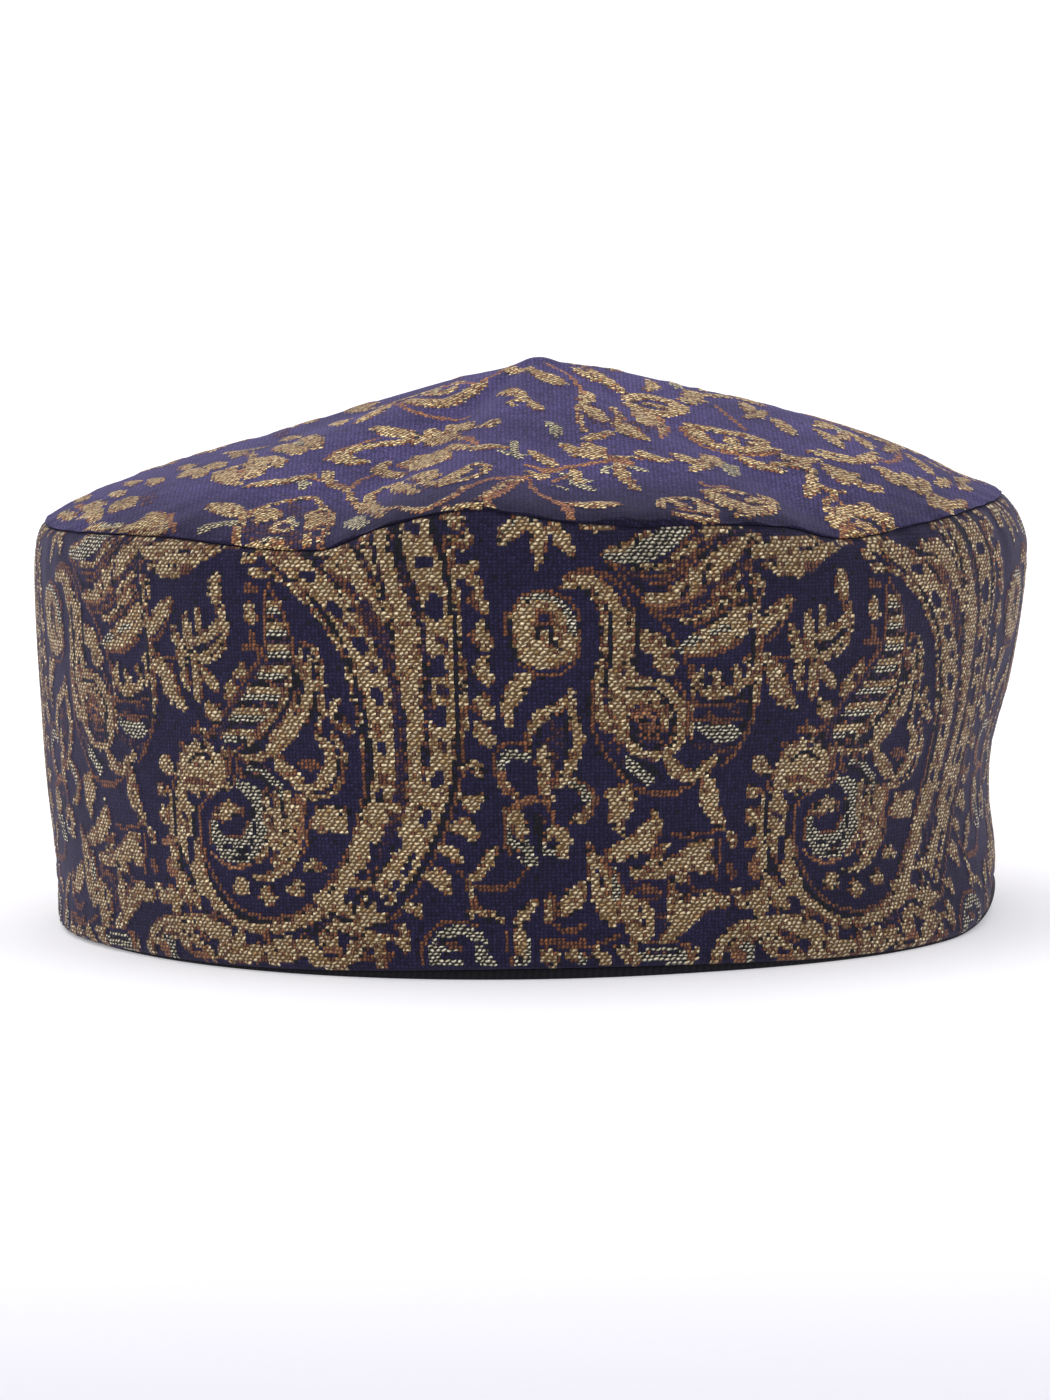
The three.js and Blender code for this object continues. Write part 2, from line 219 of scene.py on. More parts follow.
# The pattern charts, drawn from the photo: every shape is a stroke through the corners of
# its row, all in mm. Later strokes lie over earlier ones. The band's chart runs 122 mm along the band
# and up from the hem, and repeats; the crown's lies on the crown seen from above, front at -y.
bandChart = readChart("""
# dusky ground between the lanes of the tall paisley
dusk -30 84 10 -27 78 12 -22.6 70 13 -20.6 62 13 -19.6 54 13 -19.8 44 13 -21.4 35 12.5 -25 26 12
  -30 18.6 11 -37 12.6 8 -46 9 4
dusk -42 76 5 -38 72 6 -34 67 6 -31 61 6 -29.4 54 6 -28.4 44 6 -29.4 34 6 -33 24 5.4 -39 16.6 4.6
dusk -74.4 30 4 -73.6 22 5.4 -71 15.6 5 -66 11 3.6
dusk 15 67 5 16.2 60 7 15.4 53 7 17 47 7 22 43 7 27 46 5
dusk 31 78 5 36 80 5 39 77 4
dusk 24 68.6 2.4 30 71.6 4 36 75 4.6 40 77 4
dusk 31 60 3 35 62.6 4 40 66 4
dusk -46 56 6 -44.6 50 5 -48 45.6 4.6
dusk -62 46 4 -57 41 4 -53 38 4
dusk -68.6 60.4 2 -64.6 60.6 2.6 -61 62.6 2
# the tall paisley's border, right limb
gold -28.6 85.6 2.6 -28 82 2.4 -26.6 77.6 2.2 -25.2 73.6 2.2 -23.8 69 2.6 -22.8 65 4.4 -22.4 60.4 4.8
  -22 57 4.6 -22 53 3.6 -21.6 48 2.8 -21.8 41 2.5 -22 34 2.8 -23 28 3.6 -25.2 22 3.6 -28.4 17 3.4
  -33 12.4 2.6
gold -22.6 86 4.6 -21 82 5.4 -19.4 77 5.8 -18 73 5.4 -17.2 68.4 4.8 -16.4 63 4.5 -16 57 4.3 -16 50 4.3
  -16.4 43 4.4 -17.2 37 4.6 -19 31 4.6 -21.4 25.6 4 -24.6 19 3.6 -29 13.6 3 -35 8.4 2.6
gold -54 80.4 1.4 -49.6 78.6 2.4 -45.6 76 3.6 -41.8 73.2 5 -38.6 70 5.4 -35.2 66 5.4 -32.2 61.6 5.6
  -30.4 57.6 5.6 -29 54 5.2 -28.2 50 5 -27.6 45 4.8 -27.6 40 4.6 -28.2 35 4.6 -29.6 30 4.4 -31.4 26 4.2
  -33.8 21.6 4.4 -37.2 17 4.4 -41.2 13 3.8 -46.4 10 2.2 -52.2 8.4 1.8 -58 8.6 1.8 -62.4 10.4 2
  -66.2 13.2 2.4 -69 17 2.6 -71.2 21 4 -72.6 26 4.6 -72.4 31 4.2 -70.2 35 4.8
gold -40.4 77.6 0.8 -35.6 78.2 1.8 -32.4 76.2 1.9 -30.4 73 1.9 -28.6 69.6 1.9 -26.8 66 1.6
gold -33.6 81 1 -30.8 82.4 2.2 -29.8 80 1.4
plum -37.8 75.8 1.2 -35.2 74.4 3.2 -32.6 71.6 3.6 -30.4 68 2.6 -28.4 64.4 2.4 -26.6 60.8 2 -25.6 57 1.4
shade -38.6 76.8 0.7 -36.6 73.4 0.8 -34.6 70.2 0.8 -32.8 68.4 0.8
shade -24.8 84 1.2 -24 79 1.6 -22.8 75 1.4 -21.4 71 1.5 -20.4 67 1.2
plum -23.2 76 0.9 -22.2 72 1 -21.6 68.4 0.9
plum -25.2 55 1.2 -24.8 48 1.7 -24.4 41 1.8 -24.8 34 2.2 -26.2 28 2.4 -29 22 1.6
# the dark line and the thin rust line outside it
shade -18 84 0.9 -16.6 80 1.1 -15.2 75.6 1.1 -14.4 70 1.1 -13.6 65 1.1 -13.2 60 1.1 -13.2 52 1.1
  -13.2 45 1.1 -14 39 1.1 -15.2 33.6 1.1 -17.2 28 1.1 -19.8 23 1.1 -22.8 18 1.1 -26.2 14 1.1 -30 10.8 1
  -35 7.4 0.9
rust -15.6 81 0.7 -14.4 75.6 0.8 -13.4 70 0.8 -12.6 65 0.8 -12.4 60 0.8 -12.2 52 0.8 -12.4 45 0.8
  -12.8 39 0.8 -14.2 33.6 0.8 -16 28.4 0.8 -18.6 22.6 0.8 -21.6 17.6 0.8 -25 13 0.8 -28.8 9.8 0.8
# navy eyes in the gold lanes
navy -22 82.6 2 -20.4 82.2 2
navy -19.8 76.2 2 -18.2 76.2 2.2
navy -17.2 69 2.8 -17.2 67 2.8
plum -16.6 62.2 1.6 -15.4 61.8 1.6
navy -16.8 58 2.8 -16.6 56.6 2.8
plum -16.8 53.2 1.8 -15.6 52.8 1.8
navy -16.8 48.8 2.6 -16.6 47.6 2.6
plum -16.8 43.2 1.7 -16 42.2 1.5
navy -17.4 37.4 2 -17.8 35.8 2
navy -19.6 30.4 1.8 -20.4 28.8 1.7
navy -23.4 21.2 1.5 -24.6 19.4 1.5
navy -28.4 14.6 1.4 -30 13.2 1.4
navy -36.8 68.2 2.3 -35.4 67.2 2
plum -34 64.6 1.3 -33 64.2 1.2
navy -31.8 61.8 2.2 -30.6 60.6 2
plum -29.6 57.2 1.3 -28.6 56.6 1.3
navy -28.8 52.6 2.3 -28 51.4 2.1
rust -28.8 46.4 1.6 -28.2 45.2 1.4
navy -27.8 42.8 1.6 -27.6 41.4 1.6
rust -28.4 37.4 1.3 -27.8 36.4 1.2
navy -28.6 33.8 1.8 -28.8 32.6 1.7
navy -72 24.4 1.6 -72 20.8 1.7
navy -70.6 32.8 1.6 -69.8 32.2 1.6
plum -73.4 29.4 1.2 -72 28.2 1.2
# stars beside the paisley
gold -15 84.2 1.8 -13.2 83.6 2.6
gold -13.6 80.2 1.6 -11.8 79.6 2.4 -11.2 81.8 1.1
rust -12.8 79.2 1.3 -11.6 78.8 1.2
gold -13.4 74.6 1.4 -11.2 74.8 2.2 -9.6 76 1.3
gold -10.8 73.2 1.6 -9.6 72.8 1.8
gold -9.4 71 1.4 -9.2 69.2 2.3 -8.2 67.8 1.7
rust -11.2 69.2 1 -9.8 68.6 1.2
gold -8.8 64.6 1.8 -8.8 62.8 3 -8 61.2 1.9
rust -10.8 62.8 1 -9.8 61.8 1.1
gold -8.4 58.2 1.8 -8.8 56.4 2.9 -8 54.8 1.7
gold -8.8 51.8 1.7 -8.8 49.8 2.9 -7.6 48.4 1.8
rust -10.8 50 1 -10 49.2 1.1
gold -9.6 46.2 1.9 -8.8 44.6 2.7 -7.8 43.6 1.6
gold -12.8 38.8 1.3 -10.8 39.4 1.8 -9.8 37.8 1.9
gold -13 33.4 1.5 -11.6 31.8 2.4 -10.2 33.2 1.8
gold -14.8 27.4 1.6 -12.6 28 3.2 -11.4 26.2 1.8
gold -17 23.8 1.6 -15 22.6 1.8 -14.2 21.6 1.2
gold -19.6 18.8 1.8 -17.6 17.8 3 -16.6 16.6 1.6
gold -24.4 13.2 1.2 -22.6 12.6 2 -22.2 11.2 1.2
gold -30.6 7 1.6 -28.2 7.4 1.2
# inner field of the paisley: rust line, then a dark line outside it
shade -50.4 77.4 0.7 -46 74 0.9 -42.6 71 0.9 -39.4 68.2 0.9 -37 64.6 1 -35 61.4 1 -33.6 57.6 1
  -32.6 53.8 1 -31.6 50 1 -31 46 1 -30.4 42 1 -30.4 38 1 -31.2 33 1 -32.8 28 1 -34 24.2 0.9
  -36.6 19.8 0.9 -39.6 15.6 0.9 -43.2 12.4 0.9 -47.4 10.2 0.9 -52 9.4 0.9 -57.2 9.8 0.9 -61.6 11.4 0.9
  -65.2 14.4 0.9 -67.8 18.6 0.9 -69.6 23.2 0.9 -70.4 27.6 0.9 -69.2 31.6 0.8 -66.2 34.2 0.7
rust -51.2 76.6 0.6 -47.2 73.6 0.7 -43.6 70.2 0.7 -40.4 67.4 0.7 -38 64.6 0.7 -36 61.2 0.7 -34.4 57.6 0.8
  -33.6 53.8 0.8 -32.4 50 0.8 -32 46 0.8 -31.6 42 0.8 -31.4 38 0.8 -32.2 33 0.8 -33.6 28.4 0.8
  -35 24.4 0.8 -37.6 20.4 0.8 -40.4 16.4 0.8 -43.8 13.2 0.8 -47.6 11.2 0.8 -52 10.4 0.8 -57 10.8 0.8
  -61 12.4 0.8 -64.2 15.2 0.8 -66.8 19 0.8 -68.6 23.6 0.8 -69.2 27.6 0.8 -68.2 31 0.8 -65.4 33.2 0.8
  -62.4 34.6 0.8
# left outside lines
rust -70.6 41 0.7 -73.4 38.6 0.8 -75.4 34.8 0.8 -76.6 30 0.8 -76.8 25 0.8 -76 20 0.8 -74.6 15 0.8
  -73 11 0.7
shade -72.6 37.6 0.8 -74.4 34.2 0.9 -75.6 29.8 0.9 -75.6 25 0.9 -74.8 20 0.9 -73.4 15 0.9 -71.8 11.4 0.8
gold -73 33 3.2 -70.4 37 4.8 -68 39.6 4.2 -67.4 42.6 2.6 -66.4 45 1
gold -69 35 3 -65.6 36.4 3.4 -62.8 39.2 2.6 -61.4 42.2 1.2
gold -70.8 17.8 2.4 -69.2 14.4 3 -67 12 2.4
navy -68.8 12.2 1.8 -67.8 11.4 1.4
gold -71.4 13.6 2 -71 12.2 2
gold -71.6 8.4 1.8 -68.4 8.6 2.4 -65.4 7.2 1.4
# bottom of the border, down to the hem
gold -61.6 4.4 2.2 -60.2 6.8 1.6
gold -57.2 3.4 3.2 -55.4 3.6 1.4
gold -53.2 3.2 3.2 -51.6 3.4 1.8
gold -54.4 6.4 1.2 -54.2 5 1.2
gold -50.2 6.4 1.2 -50 5 1.2
gold -48.6 3.4 2.4 -46 5.8 2.6 -43.6 4 1.6
gold -41.6 6.6 2.2 -39.2 4.6 1.8
gold -36.8 3.2 1.8 -35.4 5.6 1.6 -32.4 6.8 1.4
rust -56.4 2.6 1 -54.6 2.6 1
rust -48 4.6 1 -47 3.4 1
# dots in the field
gold -59.8 16 1.8 -58.6 15.6 1.8
gold -53.8 14 1.8 -52.6 14 1.8
gold -47.6 15.8 1.9 -46.2 15.6 1.9
gold -43.4 20.6 1.3 -42 20.4 1.3
# long striped leaf
plum -50 69.6 0.8 -49.6 64 1.6 -51.2 58.4 3.6 -53.4 54.4 5 -56.4 50.4 5.6 -60 47 5.2 -62.6 44.4 3.2
stripe -49.6 70.6 0.8 -48.4 67.6 3.2 -47.8 63.6 4.6 -47.8 59.6 5 -49 56 5.6 -51.4 52.4 6.2 -54.4 49 6.4
  -57.4 46 6 -59.4 43.4 4.6 -60.2 41.4 2.2
rust -50 72.2 0.9 -48 69 0.8 -46.2 65.4 0.8 -45.2 61.6 0.8 -45.2 57 0.8 -46.2 53.6 0.8 -48.6 50.2 0.8
  -51.6 47 0.8 -55 44 0.8 -58 42 0.7
rust -50.6 70.8 0.8 -50.8 66 0.7 -50.8 61.6 0.8 -52.6 58 0.8 -55.4 55.2 0.8 -58.2 51.8 0.8 -61.4 48.2 0.8
  -64.2 45.2 0.8 -66.6 43.6 0.7
shade -58.6 43.8 0.6 -54.6 42.2 1.2 -51.6 41.8 0.7
# banded leaf beside it
gold -41 58.4 0.8 -41.2 54.8 2.2 -42.2 51.2 3 -44 48.2 3.4 -46.6 45.6 3.2 -49.2 43.2 2.8 -51.8 41 1.4
  -55.6 40.2 1 -58.8 40.4 0.8
shade -42.8 54.6 0.6 -43.6 51.6 0.7 -45.2 48.6 0.7 -47.4 46.2 0.7
rust -43.2 61.4 1 -43.2 58 1 -43.2 55.2 0.8
rust -43.4 61.8 0.9 -41.2 60.8 0.9 -39.6 58.4 0.8 -39 54.4 0.8 -39.2 50.4 0.8 -40.2 46.8 0.8
# bud
gold -50 41.2 1.6 -48.4 38.6 2.4 -46.2 36.4 2.4 -44 34.8 1.5 -41.2 35 1.5 -38.8 36.8 1.9 -37.6 39.2 1.7
  -38.4 42 1.9 -40.2 44 1.1
rust -44.6 39.2 0.8 -42.6 39.2 2.7 -40.6 39.2 0.9
gold -44.6 33.2 0.6 -40.2 33.2 0.6 -36.8 35.4 0.7 -35.6 38.6 0.7 -35.8 42 0.7 -37.4 44.8 0.6
# spiral comma
pale -60 35.6 1 -57 34.4 2.6 -54.6 31.8 4 -54 28 4.8 -55.6 24.8 5.8 -59.4 22.8 5.2 -62.8 23.2 4.2
  -64.8 25.4 2.6 -65 27.8 1.6
gold -64.4 29 1.4 -62.6 29.8 2.4 -60.8 30.2 2.2
gold -52.2 31.2 0.8 -52 27.6 1.2 -53 23.6 1.2 -55.4 21.2 1
rust -66.2 24.4 0.7 -66.2 27.8 0.7 -64.4 31 0.7
rust -62.4 25.4 0.7 -59.4 25.2 0.7 -57.6 27.2 0.7 -58.2 30.6 0.7
rust -59 39.4 0.8 -58.4 37.4 1.2 -57.2 36.4 0.8
# crescents round the spiral
shade -57 37.2 0.7 -52.8 36 0.9 -50.2 33.6 0.9 -49 30 0.9 -49 26 0.9 -50 22.6 0.8
pale -56.8 38.4 0.8 -53 37.6 1.3 -50.4 35.8 1.7 -48.8 33.4 1.6
gold -48.2 32 1.4 -47.6 29 1.4 -47.8 25.6 1.5 -48.8 22.8 1.7 -51 20.8 1.2
gold -46.2 32.4 0.9 -45.6 28.8 1.3 -46 25 1.5 -47.4 21.6 1.5 -50.2 19.2 1.4 -53.6 18 1.2 -56 17.8 0.8
rust -44.4 32.2 0.7 -43.6 28.4 0.8 -44.2 24.4 0.8 -45.6 21.8 0.7
rust -52.6 34.8 0.6 -50.6 32 0.7 -50 28 0.8 -50.6 24 0.7 -52.4 21 0.7
# square flower and small leaf
gold -40.8 28.6 3.6 -37.8 28.8 3.8
gold -36.4 30.6 0.9 -35.2 30.4 0.8
gold -36.2 51.2 0.8 -37.2 49 1.9 -36 47 2.1 -34.2 45.4 1.3
# stars down the paisley's left side
gold -55.6 76.8 1 -53.6 76.6 1.6
gold -53.4 74.6 1.3 -51.6 74.2 1.7
rust -54.4 71.6 1.8 -53 71.4 1.6
gold -53.8 68 1.6 -53.6 66 2.2 -53.4 65.4 1.6
rust -53.8 63.6 0.9 -53.6 61.4 1.7 -55.4 60.6 0.9 -52 60.8 0.9
gold -56.2 57.6 1 -56 56 1.7 -57.8 55.4 1
gold -58.8 53.6 1.2 -59.2 52.2 1.7
gold -64.8 48.4 1.3 -63.4 48 2 -62.6 49.4 1.2
rust -68 46.4 1.1 -68.2 45 1.7 -70 44.8 0.9
rust -72.4 42.2 1.6 -71.8 41 1.3
gold -77 39.4 1.3 -77.2 38.2 2.2
gold -79.4 28.8 1.3 -78.2 28.2 1.9
gold -78.2 14.2 1.4 -76.8 13 2.2 -76.4 11.6 1.4
# hand palmette
gold -61.8 74.2 0.9 -61.8 72 2.2 -61.2 69.4 1.3
rust -62.4 69.4 0.8 -61 67.2 1 -60.2 65 0.9
gold -60 67.6 1 -59.6 64.4 1.2 -60 62 1
gold -66 67.6 1 -66 65.4 1.8 -66 62.8 1.3
gold -69 66.4 1 -69 64 1.6 -68.6 61.6 1.2
gold -72.4 63.8 1 -71.4 61 1.7 -70.6 57.4 1.7 -70.2 53.2 1.2
gold -69.4 60.2 1 -67.4 61.2 0.9 -64.6 61.8 1.1 -62 63.2 1.4 -60.6 64.6 1
gold -69.2 58.8 0.8 -66.2 58 1 -62.8 58.8 1.1 -60.4 60.8 1.1
shade -68.4 59.6 0.9 -65.8 59.6 1.5 -62.8 60.6 1.6 -61.2 62.2 0.9
gold -67.4 56.2 1.2 -67.2 54 1.9 -66.8 51.2 1
gold -65.6 56.2 1.2 -64.4 54.6 1.6 -62.6 53 1.1
gold -77.4 58.6 0.8 -76.2 56.8 2.6 -74.8 53.6 3.2 -73 50.6 1.8 -72.2 49.2 0.8
rust -77.8 58.4 0.7 -75.4 58.6 0.8 -72.2 58.2 0.7
rust -74 57 0.7 -72.6 53.6 0.7 -71 49.6 1
gold -79.2 62.8 1.6 -77.4 65.2 2.8 -75.2 67.4 2.4 -73 69.2 1
rust -79.4 60.6 0.7 -76 62.8 0.7 -73.8 66 0.7 -72.4 68.8 0.7
# flower row under the seam
gold -78.2 78.6 1.6 -75.4 79.2 2 -71.8 79.4 1.8 -68.4 79.6 1.6 -65.2 79.4 1.2
gold -78.4 75.2 1.4 -76.8 76 1.2
gold -75.2 74.6 1.9 -73.6 74.8 1.6
gold -72.6 76.8 1.6 -71 77.6 1.4
gold -71.6 74.4 1.4 -71.2 73.6 1.2
rust -69.8 75 1.9 -68.4 74.6 1.4
gold -68.2 77.2 1.6 -66.2 76.6 1.6
# lily under the seam
gold -5.2 79.6 0.8 -3.8 81.4 3 -1.6 83.2 3 0.4 84.2 1
pale -4.2 81.8 0.9 -2.6 83.2 0.9
gold 0.8 83.2 0.9 1.8 80.8 2.8 1.6 78 1.9 1.2 75.4 0.7
gold 4 83.6 1.2 5.2 81.4 2.6 6.4 79.4 2.2 7.6 77.2 0.7
rust -3.8 85.6 1.2 -2.4 85.6 1.2
gold 9.6 82.8 0.9 12.4 82.4 1.3 16.4 83.2 0.9
# rose
rust -4.6 66.6 1 -4.2 63 0.9 -2.6 58.8 0.9 1 56 0.9 5 55.8 0.9 8 58 0.9
rust -2.4 69.6 0.9 1.4 70.8 1 6 69.8 1 8.6 66.8 0.9 9 62 0.9 8.6 59 0.8
shade 2.2 63.2 13.2 2.4 63.2 13.2
gold -3 66.8 1.2 -1.2 64.2 3.4 -0.4 60.6 4.2 2.6 58.8 3.6 6 60.2 3.8 7.2 63.4 2.8
gold -1.4 67.6 2.6 0.4 66.2 2.4 0.6 64 1.8
pale 0.4 69.2 1.6 3.4 69 2 6.2 67 2.6 7.6 63.8 1.8
gold 1.6 62 1.6 3.6 61.8 1.6 5.4 64 2.2
rust 1.2 66.2 1 2.6 64.8 0.9 4.2 66 1 3 67.6 0.9
navy 2.4 66.2 1.4 3 66.2 1.4
shade 4.4 63.4 0.8 4.6 61 0.8 5.6 60.2 0.7
# leaf under the rose
gold 0.2 55.2 0.8 -1.8 54.4 3 -3.4 52.2 3 -4.4 49.6 1.8 -4.2 47 1.3
# hooked paisley: lanes from the hook down into the spiral
rust 5.6 71.8 0.8 7 73.8 1.2 10.6 74.4 1.3 14.2 73.4 1.1 17 70.4 0.8 18.8 66.4 0.8 19.4 63.4 0.7
gold 6.4 72 1.4 9.2 72.2 1.8 12.2 71.4 2.2 14.6 69 2.4 16 65.4 2.4 16 61 2 15.2 57 2.2 15 53.4 2.2
  16.6 50.6 2.6
shade 10.4 70.4 0.6 13.4 68.4 0.8 14.6 65 0.9 14.4 60.6 0.9 13.6 56.8 0.9 13.2 53.6 0.8
gold 12.6 69.2 0.7 13.6 66 0.9 13.4 61.4 1 12.6 56.8 1.3 12 52.6 1.7 12.6 48.8 2.4 14.2 46.2 2.6
shade 16.6 69 0.6 17.6 65.4 0.7 17.2 61 0.8 16.6 57.6 0.8
gold 17.8 68.2 0.8 18.4 65.2 1.3 18.2 61.6 1.2 17.8 58.4 1.6 18.6 55.4 2
gold 20.2 62.4 1 22 61.2 2.6 24.2 58.8 3.6 24.8 56.6 2.4
rust 20 60.6 0.7 21.6 58.4 0.8 22.4 56 0.7
gold 15.6 50.2 2.4 18 52.2 3.2 21.6 53.4 3 25.2 52 2.8 27.6 48.8 2.4 28.4 45.4 1.4 27.6 42.2 0.9
rust 26.4 54.6 0.7 28.6 51.8 0.8 29.4 47.6 0.8 28.6 43 0.8
gold 16.8 49 1.6 16.6 46 1.8 17.6 43.2 1.4 20.4 41.2 1.2 24 40.8 1.2 27.2 42 0.9
shade 18.6 50 0.8 21.6 50.8 0.9 24.6 49.4 0.9 26 46.6 0.9 25.2 43.4 0.8
rust 18.4 48 0.9 20.4 49.4 1 23.2 48.8 1 24.4 46.4 0.9 23.2 44 0.9 20.6 43.6 0.8
rust 20.6 46.6 0.9 21.6 45.2 1.5 22.8 46.2 0.9
shade 11.2 55.2 0.6 10.6 51 0.8 10.8 47 0.8 12 43 0.8 14.6 39.6 0.9 17.6 37 1 20.6 35.8 1
rust 11.6 56 0.6 11.2 52.4 0.7 11.4 45.8 0.8 12.6 42.4 0.8 15.2 39 0.8 18.2 35.4 0.8 21.6 34 1.1
  26.2 33.6 1.2 30 34.8 0.8 32.6 36.4 0.7
plum 13.4 43.4 1.8 16 42.2 2.4 17.8 39.4 2
pale 17.6 40.2 1.2 19.4 38.2 2.4 21.8 36.2 2
shade 19.2 40.4 0.8 22.2 38.2 1.4 25 36.6 1.2
# outer line of the hooked paisley
rust 12.4 78 0.8 15.4 74.8 0.8 18.6 71.4 0.8 21.6 68 0.8 25 64 0.8 27.6 60.2 0.8 29.4 56 0.8
  30.2 51.6 0.8 30.4 46.8 0.8
shade 13.6 78.2 0.7 16.6 75.2 0.7 19.8 71.8 0.7 22.8 68.6 0.7
# leaves to the right of it
pale 13.8 77.2 1 17.4 77 2.6 21.4 78.2 4 25.4 80.6 3.8 29.4 82.6 1.6
rust 14.6 76 0.6 19 74.4 0.8 23 75.4 0.8 27.2 78.6 0.8 30.6 82.4 0.7
gold 20.8 69.6 1.2 24 69.4 1.8 27.4 70.8 2.4 31 73.6 3.4 34.8 76.4 3.8 38.6 79 2.6
shade 22.6 71.6 0.8 26.4 73.4 1 30 76.8 1.3 33.4 79.4 1.2
gold 31.8 80.6 1.8 34.4 82 2 37 82.8 1.4
plum 23.4 67.2 1 27.4 68 1.6 31.8 70.6 1.8 36.2 73.8 1.8 39.6 75.8 1.2
rust 22 67.2 0.7 27 69.4 0.7 31.6 72 0.7 35.8 74.8 0.7
pale 27.4 60.4 1.4 29.6 61.2 2.8 31.6 62.4 3
gold 32 61.8 2.4 34.8 63.8 3.6 37.8 66 3.4 40.6 67.8 1.6
shade 32.6 64.6 0.9 36.2 66.4 0.8 38 64.4 0.7
rust 30.2 64.6 0.7 34 66.6 0.8 38 69 0.8 40.8 70.4 0.7
rust 28.6 58.8 0.7 32.4 59.4 0.8 36.4 61.4 0.8 40.4 63.8 0.7
gold 30.6 55.6 0.9 31.6 52.8 1.5 35 52 1.4 38.6 53 1.5 41.4 54.8 1.6
gold 34.2 55.8 1.2 35.2 53.4 1.6
gold 38.2 56.4 1.3 39.2 54.2 1.6
rust 30.6 50.2 0.7 34.6 49.6 0.7 40.6 50.4 0.7
shade 32.2 51 0.6 36 50.6 0.6 40 51.4 0.6
plum 33 48.4 1.6 35 48.4 1.4
plum 37.6 48.8 1.4 39.4 49 1.4
rust 31 47.2 0.7 35.8 46.8 0.8 40.2 47.2 0.7
pale 31.6 45.8 1.5 34.2 45 2.9 37 44.4 3.2 39.2 44.8 2
plum 31.4 42.6 1.4 34.6 42 1.6 38 41.6 1.2
# upright line that closes the group on the right
rust 40.8 76.4 0.7 41.4 73 0.8 42.2 68 0.9 42.8 63 0.9 43.2 58 0.9 43.2 53 0.9 42.6 48.6 0.9
  41.2 44.4 0.9 38.8 40.8 0.9 36.4 38.4 0.8
shade 40.8 72.6 0.7 41.2 68 0.8 41.8 63 0.8 42 58 0.8 42 53 0.8 41.6 48.8 0.8 40 45 0.8
gold 42.6 73.4 0.6 43.4 69.6 0.6
gold 40.6 58.6 0.9 41 55.8 1
# below the hooked paisley
gold 26.6 39.2 1.3 28.6 37.4 1.8 30.6 36.6 1.8 33 38.2 1.8 35 39.8 1.2
gold 34 34.6 2.6 34.4 32 3.6 35.4 29.6 2.4 37.2 27.2 0.9
gold 18 34.4 1.4 16.4 33.4 3.2 15.6 31 3.4 16 28.6 2.2 16.8 26.4 0.8
# hollow leaf
gold -0.8 41.2 0.9 -0.6 44.6 1.2 0.8 47.4 1.8 3.6 49.2 1.8 6 50.6 1.6 7.2 52.4 1
gold 7.2 50.8 1.2 7.6 47.6 1.8 8.4 44.2 1.8 7.8 41 1.8 6.4 38 1.6 5 35.8 1.2
plum 3.2 47.2 1.2 3.8 44.8 4.2 3.8 42.2 3 4 40 1
shade 1.2 45.6 0.8 1 43 0.8 2 40.4 0.8 4 38.4 0.7
shade 5.6 48.4 0.7 6.4 45 0.8 6.2 41.6 0.8
rust 0.6 39.6 0.9 3 39.4 0.9 4.4 37.6 0.9 3.6 35.6 0.9
# curls
rust -7.2 37.6 0.8 -7 40.6 0.9 -5.4 42.8 0.9 -2.6 43.4 0.9 -0.8 42.4 0.7
pale -5.8 38 1.4 -5.4 40.2 1.7 -3.4 41.4 1.8 -1 40.4 1.4
gold -5.8 37 1.4 -5.2 35.2 1.6 -3.4 33.8 1.2
rust -4.6 34.4 0.9 -2.8 33.4 0.9
gold 1.6 37.4 1.4 2 35 1.8 3.2 33.2 1
gold 5.6 36.6 1.2 7.6 36 1.5 9.8 34.4 1.8 10.6 32 1.5 9.6 29.8 1.4 7.2 29.2 0.9
pale 7.6 35.8 1.3 9.4 34.4 1.5 10 32.6 1.1
rust 9.6 36 0.7 11.6 33.4 0.8 11.2 30.4 0.8
# lower flower
pale -4.6 30 1.6 -4.2 27.4 3.4 -2.8 24.8 3.6 -1.2 22.4 3.2 0 20.6 1.2
rust -5 31.4 0.8 -2.2 31.6 0.8 0.6 32.6 0.9 3 31.6 0.9 3.4 28.8 0.8
shade 0.4 29.8 1.6 1.2 26.4 1.4 1.4 23.6 1
plum 1.8 30 1.4 2.2 28.8 1.2
gold 2.2 25.4 1.3 3.8 27.2 1.4 5.8 26.4 1.4 6 24.2 1.3
pale 2.4 23.4 1.6 4.2 22.8 1.6
gold -7.2 23.8 0.8 -8.2 22.2 2.2 -9.6 20.2 1.8 -11.4 18.4 1.2
rust -14 19.4 1 -11.8 17.2 1 -8.8 16.4 1.3 -5.4 16.6 1.2 -2.8 18 0.9 -1.4 20.4 0.7
gold -12.4 16.4 0.8 -11.4 13.6 0.9 -12.2 11.6 1.2
gold -10 12.2 1 -7.6 11.4 1.2 -6.2 10.4 0.8
# small paisley at the hem
rust -22.2 2.4 0.9 -21.6 6 0.9 -19 9.2 0.8 -15 10.4 0.7 -11 9.6 0.7
pale -19.6 2.8 2.2 -18.8 6 2.6 -16.6 8.2 2.2 -13.4 8.6 2 -10.8 7 2.6 -10.2 3.6 2.8 -8 2.6 1.2
rust -16.4 6.4 1.2 -14.4 5.4 1.2
pale -3.2 8.4 1.8 -2.6 6.4 3 -2.6 3.4 3.4
rust -5 8.2 0.8 -5 5 0.8 -4.6 2.6 0.7
gold -3.6 9.6 0.8 -2.2 11.4 2 -0.8 13 1.6 0.2 13.8 0.8
rust 2.6 10.6 1.4 3.6 12.8 2.4 3 15.6 0.8
gold 5.4 11.8 1 7 13.4 3 8.4 15.4 2.6 9.6 17.4 0.8
rust 4 9.4 0.9 6.6 8.6 1.3 9.4 9.4 0.9
rust 0.8 6.6 0.8 4.8 6 0.9 9.4 5.4 0.8 13.4 6.6 0.9 16.2 7.6 0.8
gold 2.4 3.6 2.6 4 3.4 1.8
gold 7.2 4 2 9 3.4 2.2
gold 11.6 4.4 2 13.8 3 2
# big flower at the hem
